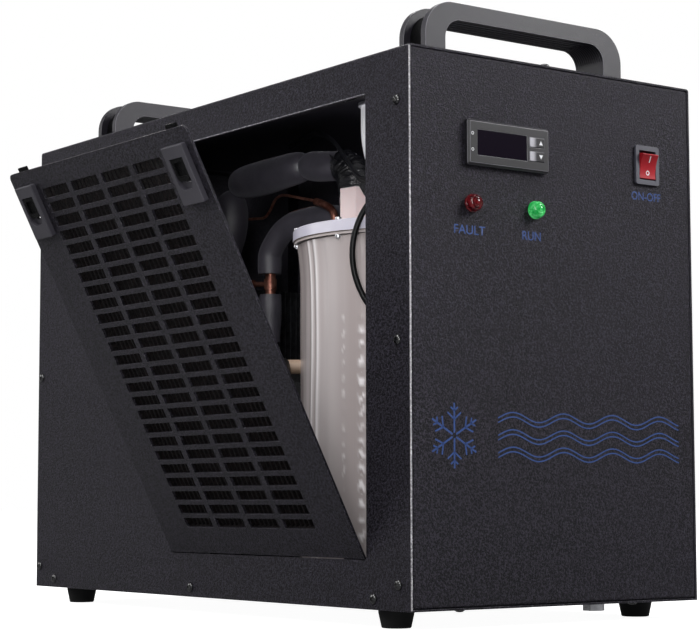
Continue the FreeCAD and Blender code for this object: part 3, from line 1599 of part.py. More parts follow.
def make_drain_plug():
    """Hexagonal drain plug under the base pan."""
    head = hexagon_rod(drain_hex_flat, V(drain_x, drain_y, base_z - drain_head), V(drain_x, drain_y, base_z))
    stem = rod(drain_stem_radius, V(drain_x, drain_y, base_z - 1),
               V(drain_x, drain_y, pan_top + drain_stem_height))
    return head.fuse(stem).removeSplitter()


# Route of the two thin leads from the controller up and back under the hood
thin_lead_route = [
    V(-50, -226, 364), V(-50, -200, 363), V(-49, -150, 359), V(-46, -112, 357.5), V(-45, -94, 359.5),
    V(-44, -79, 375), V(-43, -60, 394), V(-38, -36, 407), V(-30, -8, 415), V(-14, 30, 418), V(4, 80, 418),
]
thin_lead_shift = V(-2.6, 0, 2.6)


def make_controller_leads():
    """Two leads side by side from the controller towards the terminals."""
    leads = []
    for index in range(2):
        leads.append(tube([point + thin_lead_shift * index for point in thin_lead_route], thin_lead_radius))
    return group(leads)


def write(name, shape):
    """Save one sub-part, checked to be valid solids."""
    if not shape.isValid() or not shape.Solids:
        print("check", name, shape.isValid(), len(shape.Solids))
    shape.exportStep("parts/%s.step" % name)


def main():
    """Build and save every sub-part."""
    write("hood", make_hood())
    write("front_panel", make_front_panel())
    write("rear_panel", make_rear_panel())
    write("base_pan", make_base_pan())
    for end, y in (("front", -foot_y), ("rear", foot_y)):
        for side, x in (("left", -foot_x), ("right", foot_x)):
            write("foot_%s_%s" % (end, side), make_foot(x, y))
    write("foot_screws", make_foot_screws())
    write("front_handle", make_handle(-1))
    write("rear_handle", make_handle(1))
    write("handle_screws", make_handle_screws())
    write("case_screws", make_case_screws())

    write("door_panel", make_door_panel())
    write("filter_frame", make_filter_frame())
    for name, (y0, y1) in zip(("front", "rear"), latch_spans()):
        write("latch_housing_" + name, make_latch_housing(y0, y1))
        write("latch_slider_" + name, make_latch_slider(y0, y1))

    write("controller_case", make_controller_case())
    write("controller_window", make_controller_window())
    write("button_up", make_button(0))
    write("button_down", make_button(1))
    write("fault_lamp", make_lens(fault_lamp_x))
    write("run_lamp", make_lens(run_lamp_x))
    write("lamp_holders", make_lamp_holders())
    write("switch_body", make_switch_body())
    write("switch_rocker", make_rocker())

    write("tank_body", make_tank_body())
    write("tank_lid", make_tank_lid())
    write("tank_lid_screws", make_tank_lid_screws())
    write("evaporator_coil", make_evaporator())
    write("level_sensor", make_level_sensor())
    write("sensor_lead", make_sensor_lead())
    write("filler_neck", make_filler_neck())
    write("filler_cap", make_filler_cap())
    write("filler_hose", make_filler_hose())

    elbow, run, drop = make_return_foam()
    write("return_foam_elbow", elbow)
    write("return_foam_run", run)
    write("return_foam_drop", drop)
    write("suction_foam", make_suction_foam())
    write("suction_line", make_suction_line())
    write("capillary_tube", make_capillary())
    write("filter_drier", make_drier())
    write("liquid_line", make_liquid_line())
    write("discharge_line", make_discharge_line())

    write("compressor", make_compressor())
    write("compressor_cover", make_compressor_cover())
    write("compressor_mounts", make_compressor_mounts())
    write("condenser_coil", make_condenser_coil())
    write("condenser_fins", make_condenser_fins())
    write("fan_shroud", make_fan_shroud())
    write("fan_motor", make_fan_motor())
    write("fan_rotor", make_fan_rotor())
    write("pump", make_pump())
    write("pump_hoses", make_pump_hoses())
    write("water_ports", make_water_ports())
    write("power_inlet", make_power_inlet())
    write("drain_plug", make_drain_plug())
    write("controller_leads", make_controller_leads())


main()
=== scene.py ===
# %% [markdown]
# # A recirculating water chiller in a black steel case
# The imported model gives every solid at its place. This script dresses it: the sheet
# gets powder coat and broken edges, the soft pipes get foam, the lamps get ribs.
# All lengths in the notes are millimetres, and MM turns them into Blender's metres.

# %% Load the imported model
import bpy
import json
import math
from mathutils import Matrix, Vector, noise

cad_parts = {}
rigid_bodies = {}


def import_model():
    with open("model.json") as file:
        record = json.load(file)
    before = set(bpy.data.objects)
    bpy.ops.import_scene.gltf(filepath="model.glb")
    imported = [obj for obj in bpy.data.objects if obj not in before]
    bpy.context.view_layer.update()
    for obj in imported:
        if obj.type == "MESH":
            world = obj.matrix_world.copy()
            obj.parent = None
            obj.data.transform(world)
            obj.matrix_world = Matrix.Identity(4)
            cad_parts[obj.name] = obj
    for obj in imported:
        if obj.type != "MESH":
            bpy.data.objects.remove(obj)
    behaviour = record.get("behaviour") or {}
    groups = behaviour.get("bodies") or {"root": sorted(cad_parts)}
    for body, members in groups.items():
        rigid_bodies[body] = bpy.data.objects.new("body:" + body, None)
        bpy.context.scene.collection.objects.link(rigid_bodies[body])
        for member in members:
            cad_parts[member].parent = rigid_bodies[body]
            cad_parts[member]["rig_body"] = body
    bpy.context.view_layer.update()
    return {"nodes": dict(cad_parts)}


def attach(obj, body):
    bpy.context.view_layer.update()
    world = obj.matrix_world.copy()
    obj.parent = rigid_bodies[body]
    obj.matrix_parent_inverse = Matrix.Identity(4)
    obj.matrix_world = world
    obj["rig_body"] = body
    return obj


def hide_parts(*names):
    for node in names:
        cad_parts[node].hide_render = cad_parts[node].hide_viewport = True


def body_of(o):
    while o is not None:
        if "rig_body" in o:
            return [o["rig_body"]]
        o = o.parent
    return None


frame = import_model()
nodes = frame["nodes"]
MM = 0.001

# %% [markdown]
# The camera stands low, left of the front corner, and looks slightly upwards. Its
# place was worked out from the six case corners that show, so the picture lines up.

# %% Camera
yaw, pitch, roll = (math.radians(a) for a in (36.2022, 5.2523, -0.1086))
forward = Vector((math.sin(yaw) * math.cos(pitch), math.cos(yaw) * math.cos(pitch), math.sin(pitch)))
level = Vector((math.cos(yaw), -math.sin(yaw), 0.0))
upright = level.cross(forward)
right = math.cos(roll) * level + math.sin(roll) * upright
up = math.cos(roll) * upright - math.sin(roll) * level
stand = (-1.029, -1.4227, 0.0942)
focal_length = 102.61
camera = bpy.data.objects.new("camera", bpy.data.cameras.new("camera"))
bpy.context.scene.collection.objects.link(camera)
facing = Matrix((right, up, -forward)).transposed().to_4x4()
camera.matrix_world = Matrix.Translation(stand) @ facing
camera.data.sensor_fit = "HORIZONTAL"
camera.data.sensor_width = 36.0
camera.data.lens = focal_length
camera.data.clip_end = 50.0
bpy.context.scene.camera = camera
bpy.context.scene.view_settings.view_transform = "Standard"
print("camera at", [round(v, 3) for v in camera.location])

# %% [markdown]
# Materials are node trees. A small class wraps one socket, so that a pattern can be
# written as a sum or a product, and each sign adds the Math node that it stands for.

# %% A socket that can be added and multiplied
class Wire:
    """One output socket of a shader tree."""

    def __init__(self, tree, socket=None):
        self.tree = tree
        self.socket = socket

    def node(self, kind, settings=None, inputs=None, output=0):
        """A new node: its settings first, then the values or wires of its inputs."""
        made = self.tree.nodes.new(kind)
        for name, value in (settings or {}).items():
            if name == "stops":
                ramp = made.color_ramp.elements
                while len(ramp) < len(value):
                    ramp.new(0.5)
                for stop, (place, colour) in zip(ramp, value):
                    stop.position = place
                    stop.color = colour
            else:
                setattr(made, name, value)
        for name, value in (inputs or {}).items():
            socket = made.inputs[name]
            if isinstance(value, Wire):
                self.tree.links.new(value.socket, socket)
            else:
                socket.default_value = value
        return Wire(self.tree, made.outputs[output])

    def math(self, operation, first, second=0.0):
        return self.node("ShaderNodeMath", {"operation": operation}, {0: first, 1: second})

    def __add__(self, other):
        return self.math("ADD", self, other)

    def __radd__(self, other):
        return self.math("ADD", other, self)

    def __mul__(self, other):
        return self.math("MULTIPLY", self, other)

    def __rmul__(self, other):
        return self.math("MULTIPLY", other, self)

    def above(self, low, high):
        """0 below low, 1 above high, smooth between."""
        settings = {"interpolation_type": "SMOOTHSTEP"}
        return self.node("ShaderNodeMapRange", settings, {"Value": self, "From Min": low, "From Max": high})


def linear(red, green, blue, alpha=1.0):
    """A colour read off a screen (0 to 255) as the linear values that a shader takes."""
    def one(value):
        value /= 255.0
        return value / 12.92 if value <= 0.04045 else ((value + 0.055) / 1.055) ** 2.4
    return (one(red), one(green), one(blue), alpha)


def mixed(factor, first, second):
    """Colour that goes from first to second as the factor goes from 0 to 1."""
    inputs = {0: factor, 6: first, 7: second}
    return factor.node("ShaderNodeMix", {"data_type": "RGBA"}, inputs, output=2)


finishes = {}


def finish(name, pattern, **constants):
    """A material. pattern(place) gives the sockets that vary; the rest are constants."""
    material = bpy.data.materials.new(name)
    material.use_nodes = True
    tree = material.node_tree
    shader = tree.nodes["Principled BSDF"]
    for socket, value in constants.items():
        shader.inputs[socket.replace("_", " ")].default_value = value
    place = Wire(tree).node("ShaderNodeTexCoord", output=3)
    varying = pattern(place)
    height = varying.pop("height", None)
    if height is not None:
        grain, depth = height
        bump = place.node("ShaderNodeBump", None, {"Height": grain, "Distance": depth, "Strength": 1.0})
        tree.links.new(bump.socket, shader.inputs["Normal"])
    for socket, value in varying.items():
        tree.links.new(value.socket, shader.inputs[socket.replace("_", " ")])
    finishes[name] = material
    return material


def cloud(place, scale, detail=2.0, roughness=0.5):
    """Soft noise, scale in lumps per metre."""
    return place.node("ShaderNodeTexNoise", None,
                      {"Vector": place, "Scale": scale, "Detail": detail, "Roughness": roughness})


def stretched(place, *scale):
    """The place with each axis scaled, for lines and streaks."""
    return place.node("ShaderNodeMapping", None, {"Vector": place, "Scale": scale})


print("shader helpers ready")

# %% [markdown]
# Powder coat is paint dust melted on the steel. Its skin is pebbled at about a
# millimetre and it is satin. The glints on the pebble tops are painted into its colour as pale specks.

# %% Powder coat and the other blacks
def powder_coat(dark, pale, glint):
    def pattern(place):
        pebble = cloud(place, 900.0, 3.0, 0.7)
        wide = cloud(place, 9.0, 3.0)
        # painted highlight: pale specks in the colour stand in for glints on the pebble tops
        glint_specks = cloud(place, 560.0, 3.0, 0.85).above(0.47, 0.6)
        tone = mixed(wide.above(0.3, 0.7), dark, pale)
        tone = mixed(glint_specks * 0.8, tone, glint)
        return {"Base_Color": tone, "Roughness": 0.33 + pebble * 0.14 + wide * 0.06,
                "height": (pebble + glint_specks * 0.5, 0.0007)}
    return pattern


finish("case_paint", powder_coat(linear(1, 1, 3), linear(9, 8, 13), linear(58, 54, 66)),
       Specular_IOR_Level=0.24, Specular_Tint=(0.93, 0.9, 1.0, 1.0))
# painted highlight: a pale finish for the bevelled edges of the case sheet and for the strips along the
# opening's lip
finish("painted_edge_highlight", powder_coat(linear(70, 68, 76), linear(92, 90, 98), linear(190, 188, 196)),
       Specular_IOR_Level=0.5)
# painted highlight: a bright finish for the front left corner of the case
finish("painted_corner_highlight", powder_coat(linear(120, 118, 124), linear(176, 174, 178), linear(236, 234, 238)),
       Specular_IOR_Level=0.5)
# painted shade: near black for the handle recesses and the latch sliders in their pockets
finish("painted_shade_black", powder_coat(linear(4, 4, 5), linear(6, 6, 7), linear(12, 12, 14)),
       Specular_IOR_Level=0.06)
# painted fill light: the inside of the case is painted much paler than the outside, for light that does not
# reach in
finish("case_inside_painted_light", powder_coat(linear(66, 64, 72), linear(72, 70, 78), linear(84, 82, 90)),
       Specular_IOR_Level=0.2)
finish("filter_black", powder_coat(linear(7, 6, 8), linear(12, 10, 12), linear(36, 28, 28)),
       Specular_IOR_Level=0.12)


def moulded(dark, pale, rough=0.4, depth=0.00004):
    """Injection moulded plastic: a fine even texture, faint flow clouds."""
    def pattern(place):
        grain = cloud(place, 2600.0)
        flow = cloud(place, 22.0)
        return {"Base_Color": mixed(flow.above(0.3, 0.7), dark, pale),
                "Roughness": rough + grain * 0.1 + flow * 0.08, "height": (grain, depth)}
    return pattern


# painted highlight: pale finish for the bevel faces of the handles
finish("handle_rim_highlight", moulded(linear(92, 90, 100), linear(128, 126, 134), 0.3))
finish("handle_plastic", moulded(linear(24, 22, 30), linear(34, 31, 40), 0.42, 0.00008),
       Specular_IOR_Level=0.5)


def grip_ribs(place):
    """Fine ribs along the grip, 2.4 mm apart; their tops are painted pale as a painted highlight."""
    across = place.node("ShaderNodeSeparateXYZ", None, {"Vector": place}, output=1)
    turns_per_metre = 2.0 * math.pi / 0.0024
    rib = across.math("SINE", across * turns_per_metre) * 0.5 + 0.5
    grain = cloud(place, 2400.0)
    # painted highlight: the rib tops go pale
    return {"Base_Color": mixed(rib.above(0.55, 0.95), linear(11, 11, 13), linear(70, 68, 75)),
            "Roughness": 0.4 + grain * 0.15, "height": (rib, 0.0006)}


finish("grip_ribs", grip_ribs, Specular_IOR_Level=0.4)
finish("inner_plastic", moulded(linear(24, 23, 27), linear(32, 31, 36), 0.45), Specular_IOR_Level=0.4)
finish("control_plastic", moulded(linear(17, 16, 20), linear(28, 27, 31), 0.34), Specular_IOR_Level=0.4)
finish("latch_plastic", moulded(linear(50, 48, 55), linear(58, 56, 63), 0.45, 0.00006),
       Specular_IOR_Level=0.5)
finish("switch_plastic", moulded(linear(62, 62, 72), linear(74, 74, 84), 0.4), Specular_IOR_Level=0.5)
finish("bezel_rim_highlight", moulded(linear(104, 103, 110), linear(122, 120, 127), 0.25), Specular_IOR_Level=0.5)
finish("spigot_beige", moulded(linear(176, 152, 132), linear(196, 174, 152), 0.4), Specular_IOR_Level=0.5)
finish("tape", moulded(linear(16, 16, 19), linear(30, 30, 35), 0.16, 0.0002), Specular_IOR_Level=0.6)
finish("gasket", moulded(linear(84, 74, 66), linear(104, 94, 84), 0.6), Specular_IOR_Level=0.3)


def key_painted_reflection(place):
    """A painted reflection: pale silver at the left end of the key, dark towards the right end, where the
    sign is.
    """
    across = place.node("ShaderNodeSeparateXYZ", None, {"Vector": place}, output=0)
    grain = cloud(place, 1800.0)
    # painted reflection: this mask fades the pale colour out towards the right end
    worn = (across + grain * 0.002).above(-0.0285, -0.0235)
    return {"Base_Color": mixed(worn, linear(176, 175, 182), linear(26, 25, 29)),
            "Roughness": 0.26 + grain * 0.1, "height": (grain, 0.00004)}


finish("button_plastic", key_painted_reflection, Specular_IOR_Level=0.5)
finish("white_plastic", moulded(linear(240, 240, 243), linear(250, 250, 252), 0.35), Specular_IOR_Level=0.5)
# painted light: the hose glows a little, though it is no lamp
finish("hose_painted_glow", moulded(linear(240, 240, 244), linear(250, 250, 252), 0.3), Specular_IOR_Level=0.5,
       Emission_Color=(0.9, 0.9, 0.93, 1.0), Emission_Strength=0.4)
finish("sensor_plastic", moulded(linear(226, 202, 203), linear(238, 218, 217), 0.32), Specular_IOR_Level=0.5,
       Subsurface_Weight=0.15, Subsurface_Radius=(0.004, 0.002, 0.002))
finish("lid_plastic", moulded(linear(186, 183, 198), linear(206, 203, 214), 0.3), Specular_IOR_Level=0.5,
       Subsurface_Weight=0.1, Subsurface_Radius=(0.004, 0.004, 0.005))
finish("pump_plastic", moulded(linear(26, 27, 31), linear(36, 37, 42), 0.5), Specular_IOR_Level=0.4)
finish("foot_rubber", moulded(linear(17, 17, 18), linear(24, 24, 25), 0.62, 0.0001), Specular_IOR_Level=0.3)
finish("rocker_red", moulded(linear(140, 16, 26), linear(162, 22, 34), 0.4, 0.00002), Specular_IOR_Level=0.25,
       Subsurface_Weight=0.2, Subsurface_Radius=(0.004, 0.001, 0.001))
print("plastics:", len(finishes))

# %% [markdown]
# Metals differ in how they were worked. Copper pipe is drawn, so it has faint lines
# and brown patches of oxide. The screws are plated black, and they shine.

# %% Metals
def drawn_metal(dark, pale, rough, stretch=(60.0, 60.0, 900.0)):
    def pattern(place):
        lines = cloud(stretched(place, *stretch), 1.0, 3.0)
        patches = cloud(place, 120.0, 4.0, 0.65)
        return {"Base_Color": mixed(patches.above(0.35, 0.65), dark, pale),
                "Roughness": rough + lines * 0.2 + patches * 0.1, "height": (lines, 0.00003)}
    return pattern


finish("copper", drawn_metal(linear(112, 66, 56), linear(176, 124, 108), 0.24), Metallic=0.8)
finish("bright_steel", drawn_metal(linear(196, 196, 200), linear(232, 232, 236), 0.16), Metallic=0.8)
finish("brass", drawn_metal(linear(170, 132, 72), linear(206, 170, 104), 0.2), Metallic=1.0)
finish("screw_black", drawn_metal(linear(6, 6, 8), linear(12, 12, 14), 0.1, (500.0, 500.0, 500.0)),
       Specular_IOR_Level=0.9)
finish("fin_aluminium",
       drawn_metal(linear(140, 142, 148), linear(178, 180, 186), 0.3, (40.0, 300.0, 300.0)), Metallic=1.0)
finish("can_paint", powder_coat(linear(16, 16, 18), linear(22, 22, 25), linear(40, 40, 44)),
       Specular_IOR_Level=0.5)
print("metals added:", len(finishes))

# %% [markdown]
# Closed-cell foam is velvety, with a skin that shines a little where light grazes it.
# Cable sheath is smooth vinyl. Lamp lenses are coloured acrylic that glows inside.

# %% Foam, cable, lenses and window
def foam_skin(place):
    cells = cloud(place, 1400.0, 3.0, 0.7)
    lumps = cloud(place, 60.0)
    scuffs = cloud(place, 260.0, 3.0, 0.7).above(0.62, 0.75)
    tone = mixed(lumps.above(0.3, 0.7), linear(60, 58, 66), linear(74, 71, 80))
    return {"Base_Color": mixed(scuffs * 0.3, tone, linear(96, 94, 104)),
            "Roughness": 0.34 + cells * 0.16, "height": (cells + lumps * 1.5, 0.0002)}


finish("foam", foam_skin, Specular_IOR_Level=0.75, Sheen_Weight=0.15, Sheen_Roughness=0.5,
       Sheen_Tint=(0.8, 0.8, 0.9, 1.0))


def sheath(place):
    wear = cloud(place, 180.0, 3.0)
    return {"Base_Color": mixed(wear.above(0.35, 0.65), linear(7, 7, 8), linear(13, 13, 15)),
            "Roughness": 0.36 + wear * 0.16, "height": (wear, 0.00008)}


finish("cable", sheath, Specular_IOR_Level=0.2)
finish("thin_lead", moulded(linear(24, 24, 28), linear(38, 38, 43), 0.24), Specular_IOR_Level=0.6)


def lens_glow(dark, bright, glow):
    def pattern(place):
        rings = cloud(place, 300.0, 1.0)
        return {"Base_Color": mixed(rings.above(0.3, 0.7), dark, bright),
                "Emission_Color": mixed(rings.above(0.35, 0.65), glow, bright),
                "Roughness": 0.08 + rings * 0.1}
    return pattern


finish("red_lens", lens_glow(linear(54, 3, 9), linear(98, 10, 18), linear(50, 3, 8)),
       Emission_Strength=0.08, Coat_Weight=0.2, Coat_Roughness=0.08, Specular_IOR_Level=0.4)
finish("green_lens", lens_glow(linear(16, 138, 60), linear(78, 190, 108), linear(24, 156, 70)),
       Emission_Strength=0.33, Coat_Weight=0.2, Coat_Roughness=0.08, Specular_IOR_Level=0.4)


def smoked(place):
    dust = cloud(place, 900.0).above(0.68, 0.8)
    return {"Base_Color": mixed(dust, linear(18, 13, 23), linear(50, 44, 54)),
            "Roughness": 0.2 + dust * 0.3}


finish("display", smoked, Specular_IOR_Level=0.05)


def tank_skin(place):
    streak = cloud(stretched(place, 90.0, 90.0, 2.5), 1.0, 3.0, 0.6)
    stain = cloud(place, 14.0, 3.0)
    tone = mixed(stain.above(0.3, 0.75), linear(168, 158, 156), linear(184, 176, 176))
    tone = mixed(streak.above(0.6, 0.74) * 0.5, tone, linear(216, 208, 208))
    return {"Base_Color": tone, "Roughness": 0.3 + streak * 0.2, "height": (streak, 0.0009)}


finish("tank_plastic", tank_skin, Specular_IOR_Level=0.5, Subsurface_Weight=0.1,
       Subsurface_Radius=(0.006, 0.005, 0.005))


def film_skin(place):
    streak = cloud(stretched(place, 130.0, 130.0, 3.0), 1.0, 3.0, 0.6)
    wide = cloud(stretched(place, 30.0, 30.0, 2.0), 1.0)
    # painted highlight: the fold attribute whitens the colour along two pleats and a band of wrinkles
    fold = place.node("ShaderNodeAttribute", {"attribute_name": "fold"}, output=2)
    tone = mixed(wide.above(0.3, 0.7), linear(166, 156, 155), linear(184, 176, 176))
    tone = mixed(streak.above(0.62, 0.72) * 0.4, tone, linear(214, 206, 207))
    return {"Base_Color": mixed(fold, tone, linear(246, 242, 244)),
            "Roughness": 0.16 + wide * 0.16, "height": (streak, 0.0005)}


finish("tank_film", film_skin, Specular_IOR_Level=0.5, Coat_Weight=0.6, Coat_Roughness=0.08)


def print_ink(place):
    worn = cloud(place, 2400.0)
    return {"Base_Color": mixed(worn.above(0.45, 0.75), linear(48, 76, 134), linear(38, 54, 92)),
            "Roughness": 0.45 + worn * 0.2}


finish("blue_ink", print_ink, Specular_IOR_Level=0.35)
finish("white_ink", moulded(linear(206, 206, 210), linear(226, 226, 230), 0.5), Specular_IOR_Level=0.35)
print("finishes in all:", len(finishes))

# %% [markdown]
# Each solid gets a finish. The table goes by finish, as a paint shop sorts its parts.

# %% Which solid has which finish
wearing = {
    "case_paint": ["hood", "front_panel", "rear_panel", "base_pan", "door_panel"],
    "screw_black": ["case_screws", "foot_screws", "handle_screws"],
    "foot_rubber": ["foot_front_left", "foot_front_right", "foot_rear_left", "foot_rear_right",
                    "compressor_mounts"],
    "handle_plastic": ["front_handle", "rear_handle"],
    "latch_plastic": ["latch_housing_front", "latch_housing_rear", "latch_slider_front", "latch_slider_rear"],
    "filter_black": ["filter_frame"],
    "inner_plastic": ["fan_shroud", "fan_rotor", "lamp_holders", "power_inlet",
                      "compressor_cover", "filler_cap"],
    "switch_plastic": ["switch_body"],
    "control_plastic": ["controller_case"],
    "button_plastic": ["button_up", "button_down"],
    "display": ["controller_window"],
    "red_lens": ["fault_lamp"],
    "green_lens": ["run_lamp"],
    "rocker_red": ["switch_rocker"],
    "tank_plastic": ["tank_body"],
    "lid_plastic": ["tank_lid"],
    "sensor_plastic": ["level_sensor"],
    "white_plastic": ["filler_neck"],
    "hose_painted_glow": ["filler_hose"],
    "bright_steel": ["tank_lid_screws", "evaporator_coil", "drain_plug"],
    "brass": ["water_ports"],
    "foam": ["return_foam_elbow", "return_foam_run", "return_foam_drop", "suction_foam"],
    "cable": ["sensor_lead", "controller_leads", "pump_hoses"],
    "copper": ["suction_line", "capillary_tube", "filter_drier", "liquid_line", "discharge_line",
               "condenser_coil"],
    "fin_aluminium": ["condenser_fins"],
    "can_paint": ["compressor", "fan_motor"],
    "pump_plastic": ["pump"],
}


def dress(piece, name):
    """Gives a piece one finish all over."""
    piece.data.materials.clear()
    piece.data.materials.append(finishes[name])


for name, members in wearing.items():
    for member in members:
        dress(nodes[member], name)
left_over = sorted(set(nodes) - {member for members in wearing.values() for member in members})
print("solids without a finish:", left_over)

# %% [markdown]
# No real edge is sharp. A copy of each hard solid is merged and its edges are broken
# with a Bevel modifier, so that a thin line of light runs along them. Normals weighted
# by area then keep the large faces flat, and the rounding stays at their edges. On the
# case sheet, the handles and the bezel the bevel faces also get a paler finish, a painted highlight.

# %% Broken edges
def pick(*pieces):
    """Selects these pieces and nothing else."""
    bpy.ops.object.select_all(action="DESELECT")
    for piece in pieces:
        piece.select_set(True)
    bpy.context.view_layer.objects.active = pieces[0]


def placed(name, mesh):
    """A new object in the scene, unturned and at the origin."""
    piece = bpy.data.objects.new(name, mesh)
    bpy.context.scene.collection.objects.link(piece)
    return piece


def join(*pieces):
    """Joins pieces into the first one."""
    pick(*pieces)
    bpy.ops.object.join()
    return bpy.context.object


def smooth(piece, degrees):
    """Smooth shading where faces meet at less than this angle."""
    pick(piece)
    bpy.ops.object.shade_smooth_by_angle(angle=math.radians(degrees))


def apply(piece, modifier):
    """Turns a modifier into plain mesh."""
    pick(piece)
    bpy.ops.object.modifier_apply(modifier=modifier.name)


sharp_angle = 32.0


def broken_edges(node, width, highlight_finish):
    """A bevelled copy of a solid, in its place and on its body; a highlight finish, if given, paints the
    bevel faces as a painted edge highlight.
    """
    piece = placed(node + "_dressed", nodes[node].data.copy())
    pick(piece)
    bpy.ops.object.mode_set(mode="EDIT")
    bpy.ops.mesh.select_all(action="SELECT")
    bpy.ops.mesh.remove_doubles(threshold=0.00001)
    bpy.ops.mesh.dissolve_limited(angle_limit=math.radians(0.6))
    bpy.ops.object.mode_set(mode="OBJECT")
    bevel = piece.modifiers.new("edges", "BEVEL")
    bevel.width = width * MM
    bevel.segments = 2
    bevel.limit_method = "ANGLE"
    bevel.angle_limit = math.radians(sharp_angle)
    # painted highlight: the bevel faces get the paler edge finish
    if highlight_finish:
        piece.data.materials.append(finishes[highlight_finish])
        bevel.material = 1
    apply(piece, bevel)
    smooth(piece, sharp_angle)
    flat_faces = piece.modifiers.new("flat faces", "WEIGHTED_NORMAL")
    flat_faces.keep_sharp = True
    flat_faces.weight = 100
    apply(piece, flat_faces)
    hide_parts(node)
    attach(piece, body_of(nodes[node])[0])
    return piece


edge_widths = {
    "hood": 0.6, "front_panel": 0.5, "rear_panel": 0.4, "base_pan": 0.4, "door_panel": 0.6,
    "front_handle": 1.1, "rear_handle": 1.1, "latch_housing_front": 0.8, "latch_housing_rear": 0.8,
    "latch_slider_front": 0.5, "latch_slider_rear": 0.5, "filter_frame": 0.25, "controller_case": 0.4,
    "button_up": 0.35, "button_down": 0.35, "controller_window": 0.25, "switch_body": 0.45,
    "switch_rocker": 0.5, "tank_lid": 0.6, "level_sensor": 0.6, "tank_lid_screws": 0.35,
    "foot_front_left": 0.8, "foot_front_right": 0.8, "foot_rear_left": 0.8, "foot_rear_right": 0.8,
    "filler_neck": 0.4, "filler_cap": 0.5, "drain_plug": 0.4, "water_ports": 0.4, "power_inlet": 0.5,
    "compressor": 0.8, "compressor_cover": 1.2, "pump": 0.8, "fan_motor": 0.6, "fan_shroud": 0.4,
    "filter_drier": 0.4, "tank_body": 0.6, "lamp_holders": 0.3, "fan_rotor": 0.3, "suction_line": 0.3,
}
# painted highlights for the bevel faces of the bezel and the handles
rim_highlights = {"controller_case": "bezel_rim_highlight", "front_handle": "handle_rim_highlight", "rear_handle": "handle_rim_highlight"}
dressed = {}
for node, width in edge_widths.items():
    edge_highlight = "painted_edge_highlight" if node in wearing["case_paint"] else rim_highlights.get(node)
    dressed[node] = broken_edges(node, width, edge_highlight)
print("solids with broken edges:", len(dressed))
print("faces:", sum(len(piece.data.polygons) for piece in dressed.values()))

# %% [markdown]
# The recess round each handle is deep and unlit, and so is the pocket that a finger
# goes into at each latch. Those faces and the latch sliders are painted near black as painted shade, with
# hardly any shine.

# %% Recesses in shade
def repaint(piece, name, chosen):
    """Gives another finish to the faces whose centre, in mm, passes the test."""
    piece.data.materials.append(finishes[name])
    slot = len(piece.data.materials) - 1
    count = 0
    for face in piece.data.polygons:
        if chosen(face.center / MM, face.normal):
            face.material_index = slot
            count += 1
    print(piece.name, "faces repainted:", count)


handle_y = 237.7
bend_x, bend_z, bend_radius = 75.0, 448.5, 17.0


def handle_recess(middle):
    """The test for the faces of the slot that runs round a handle's outside."""
    def test(centre, normal):
        in_slot = abs(centre.y - middle) < 10.6
        at_bend = abs(centre.x) > bend_x and centre.z > bend_z
        past_bend = math.hypot(abs(centre.x) - bend_x, centre.z - bend_z) > bend_radius
        outside = abs(centre.x) > bend_x + 16.0 or centre.z > bend_z + 19.1
        return in_slot and (outside or (at_bend and past_bend))
    return test


def grip_side(centre, normal):
    """The underside of the grip and the inner sides of its legs."""
    under = normal.z < -0.45 and centre.z > 440.0
    return under or (centre.x * normal.x < -30.0 and abs(centre.x) < 82.0)


def inside_of_hood(centre, normal):
    """The inner faces of both walls, and the underside of the top."""
    wall = centre.x * normal.x < -70.0
    underside = normal.z < -0.5 and centre.z > 420.0
    return wall or underside


corner_x, corner_y = -143.4, -287.3
rear_skin = 292.0
# painted shade in the recess round each handle
repaint(dressed["front_handle"], "painted_shade_black", handle_recess(-handle_y))
repaint(dressed["rear_handle"], "painted_shade_black", handle_recess(handle_y))
# painted shade on the latch sliders deep in their pockets; the grips get their ribs
for side in ("front", "rear"):
    dress(dressed["latch_slider_" + side], "painted_shade_black")
    repaint(dressed[side + "_handle"], "grip_ribs", grip_side)
# painted fill light on the inner faces of the hood, front and rear
repaint(dressed["hood"], "case_inside_painted_light", inside_of_hood)
repaint(dressed["front_panel"], "case_inside_painted_light", lambda centre, normal: normal.y > 0.5)
repaint(dressed["rear_panel"], "case_inside_painted_light", lambda centre, normal:
        normal.y < -0.5 and centre.y < rear_skin)
# painted highlight: the hood's faces at the front left corner
repaint(dressed["hood"], "painted_corner_highlight", lambda centre, normal:
        centre.x < corner_x and centre.y < corner_y)

# %% [markdown]
# Foam sleeve is slit tube that is pushed over a hose, so it bulges between the places
# where it is pinched. A smooth curve with a radius of its own at each point makes it,
# and a little noise moves the skin, as hands and heat have dented the real one.

# %% Sleeves, hoses and leads
def strand(name, points, radius, sides=8, fine=10):
    """A mesh tube along one smooth curve. Points are (x, y, z) or (x, y, z, own radius)."""
    curve = bpy.data.curves.new(name, "CURVE")
    curve.dimensions = "3D"
    line = curve.splines.new("NURBS")
    line.points.add(len(points) - 1)
    for knot, point in zip(line.points, points):
        knot.co = (point[0] * MM, point[1] * MM, point[2] * MM, 1.0)
        knot.radius = point[3] / radius if len(point) > 3 else 1.0
    line.order_u = 3
    line.use_endpoint_u = True
    line.resolution_u = fine
    curve.bevel_depth = radius * MM
    curve.bevel_resolution = sides
    curve.use_fill_caps = True
    pick(placed(name, curve))
    bpy.ops.object.convert(target="MESH")
    piece = bpy.context.object
    smooth(piece, 60)
    return piece


def dent(piece, size, depth, ridge=0.0):
    """Moves the skin in and out by noise: lumps of this size and depth, in mm."""
    moved = []
    for vertex in piece.data.vertices:
        place = vertex.co / (size * MM)
        lump = noise.noise(place)
        fold = 1.0 - abs(noise.noise(place * 2.3 + Vector((7.0, 3.0, 1.0)))) * 2.0
        moved.append(vertex.co + vertex.normal * (lump * depth + fold * ridge) * MM)
    for vertex, place in zip(piece.data.vertices, moved):
        vertex.co = place
    piece.data.update()


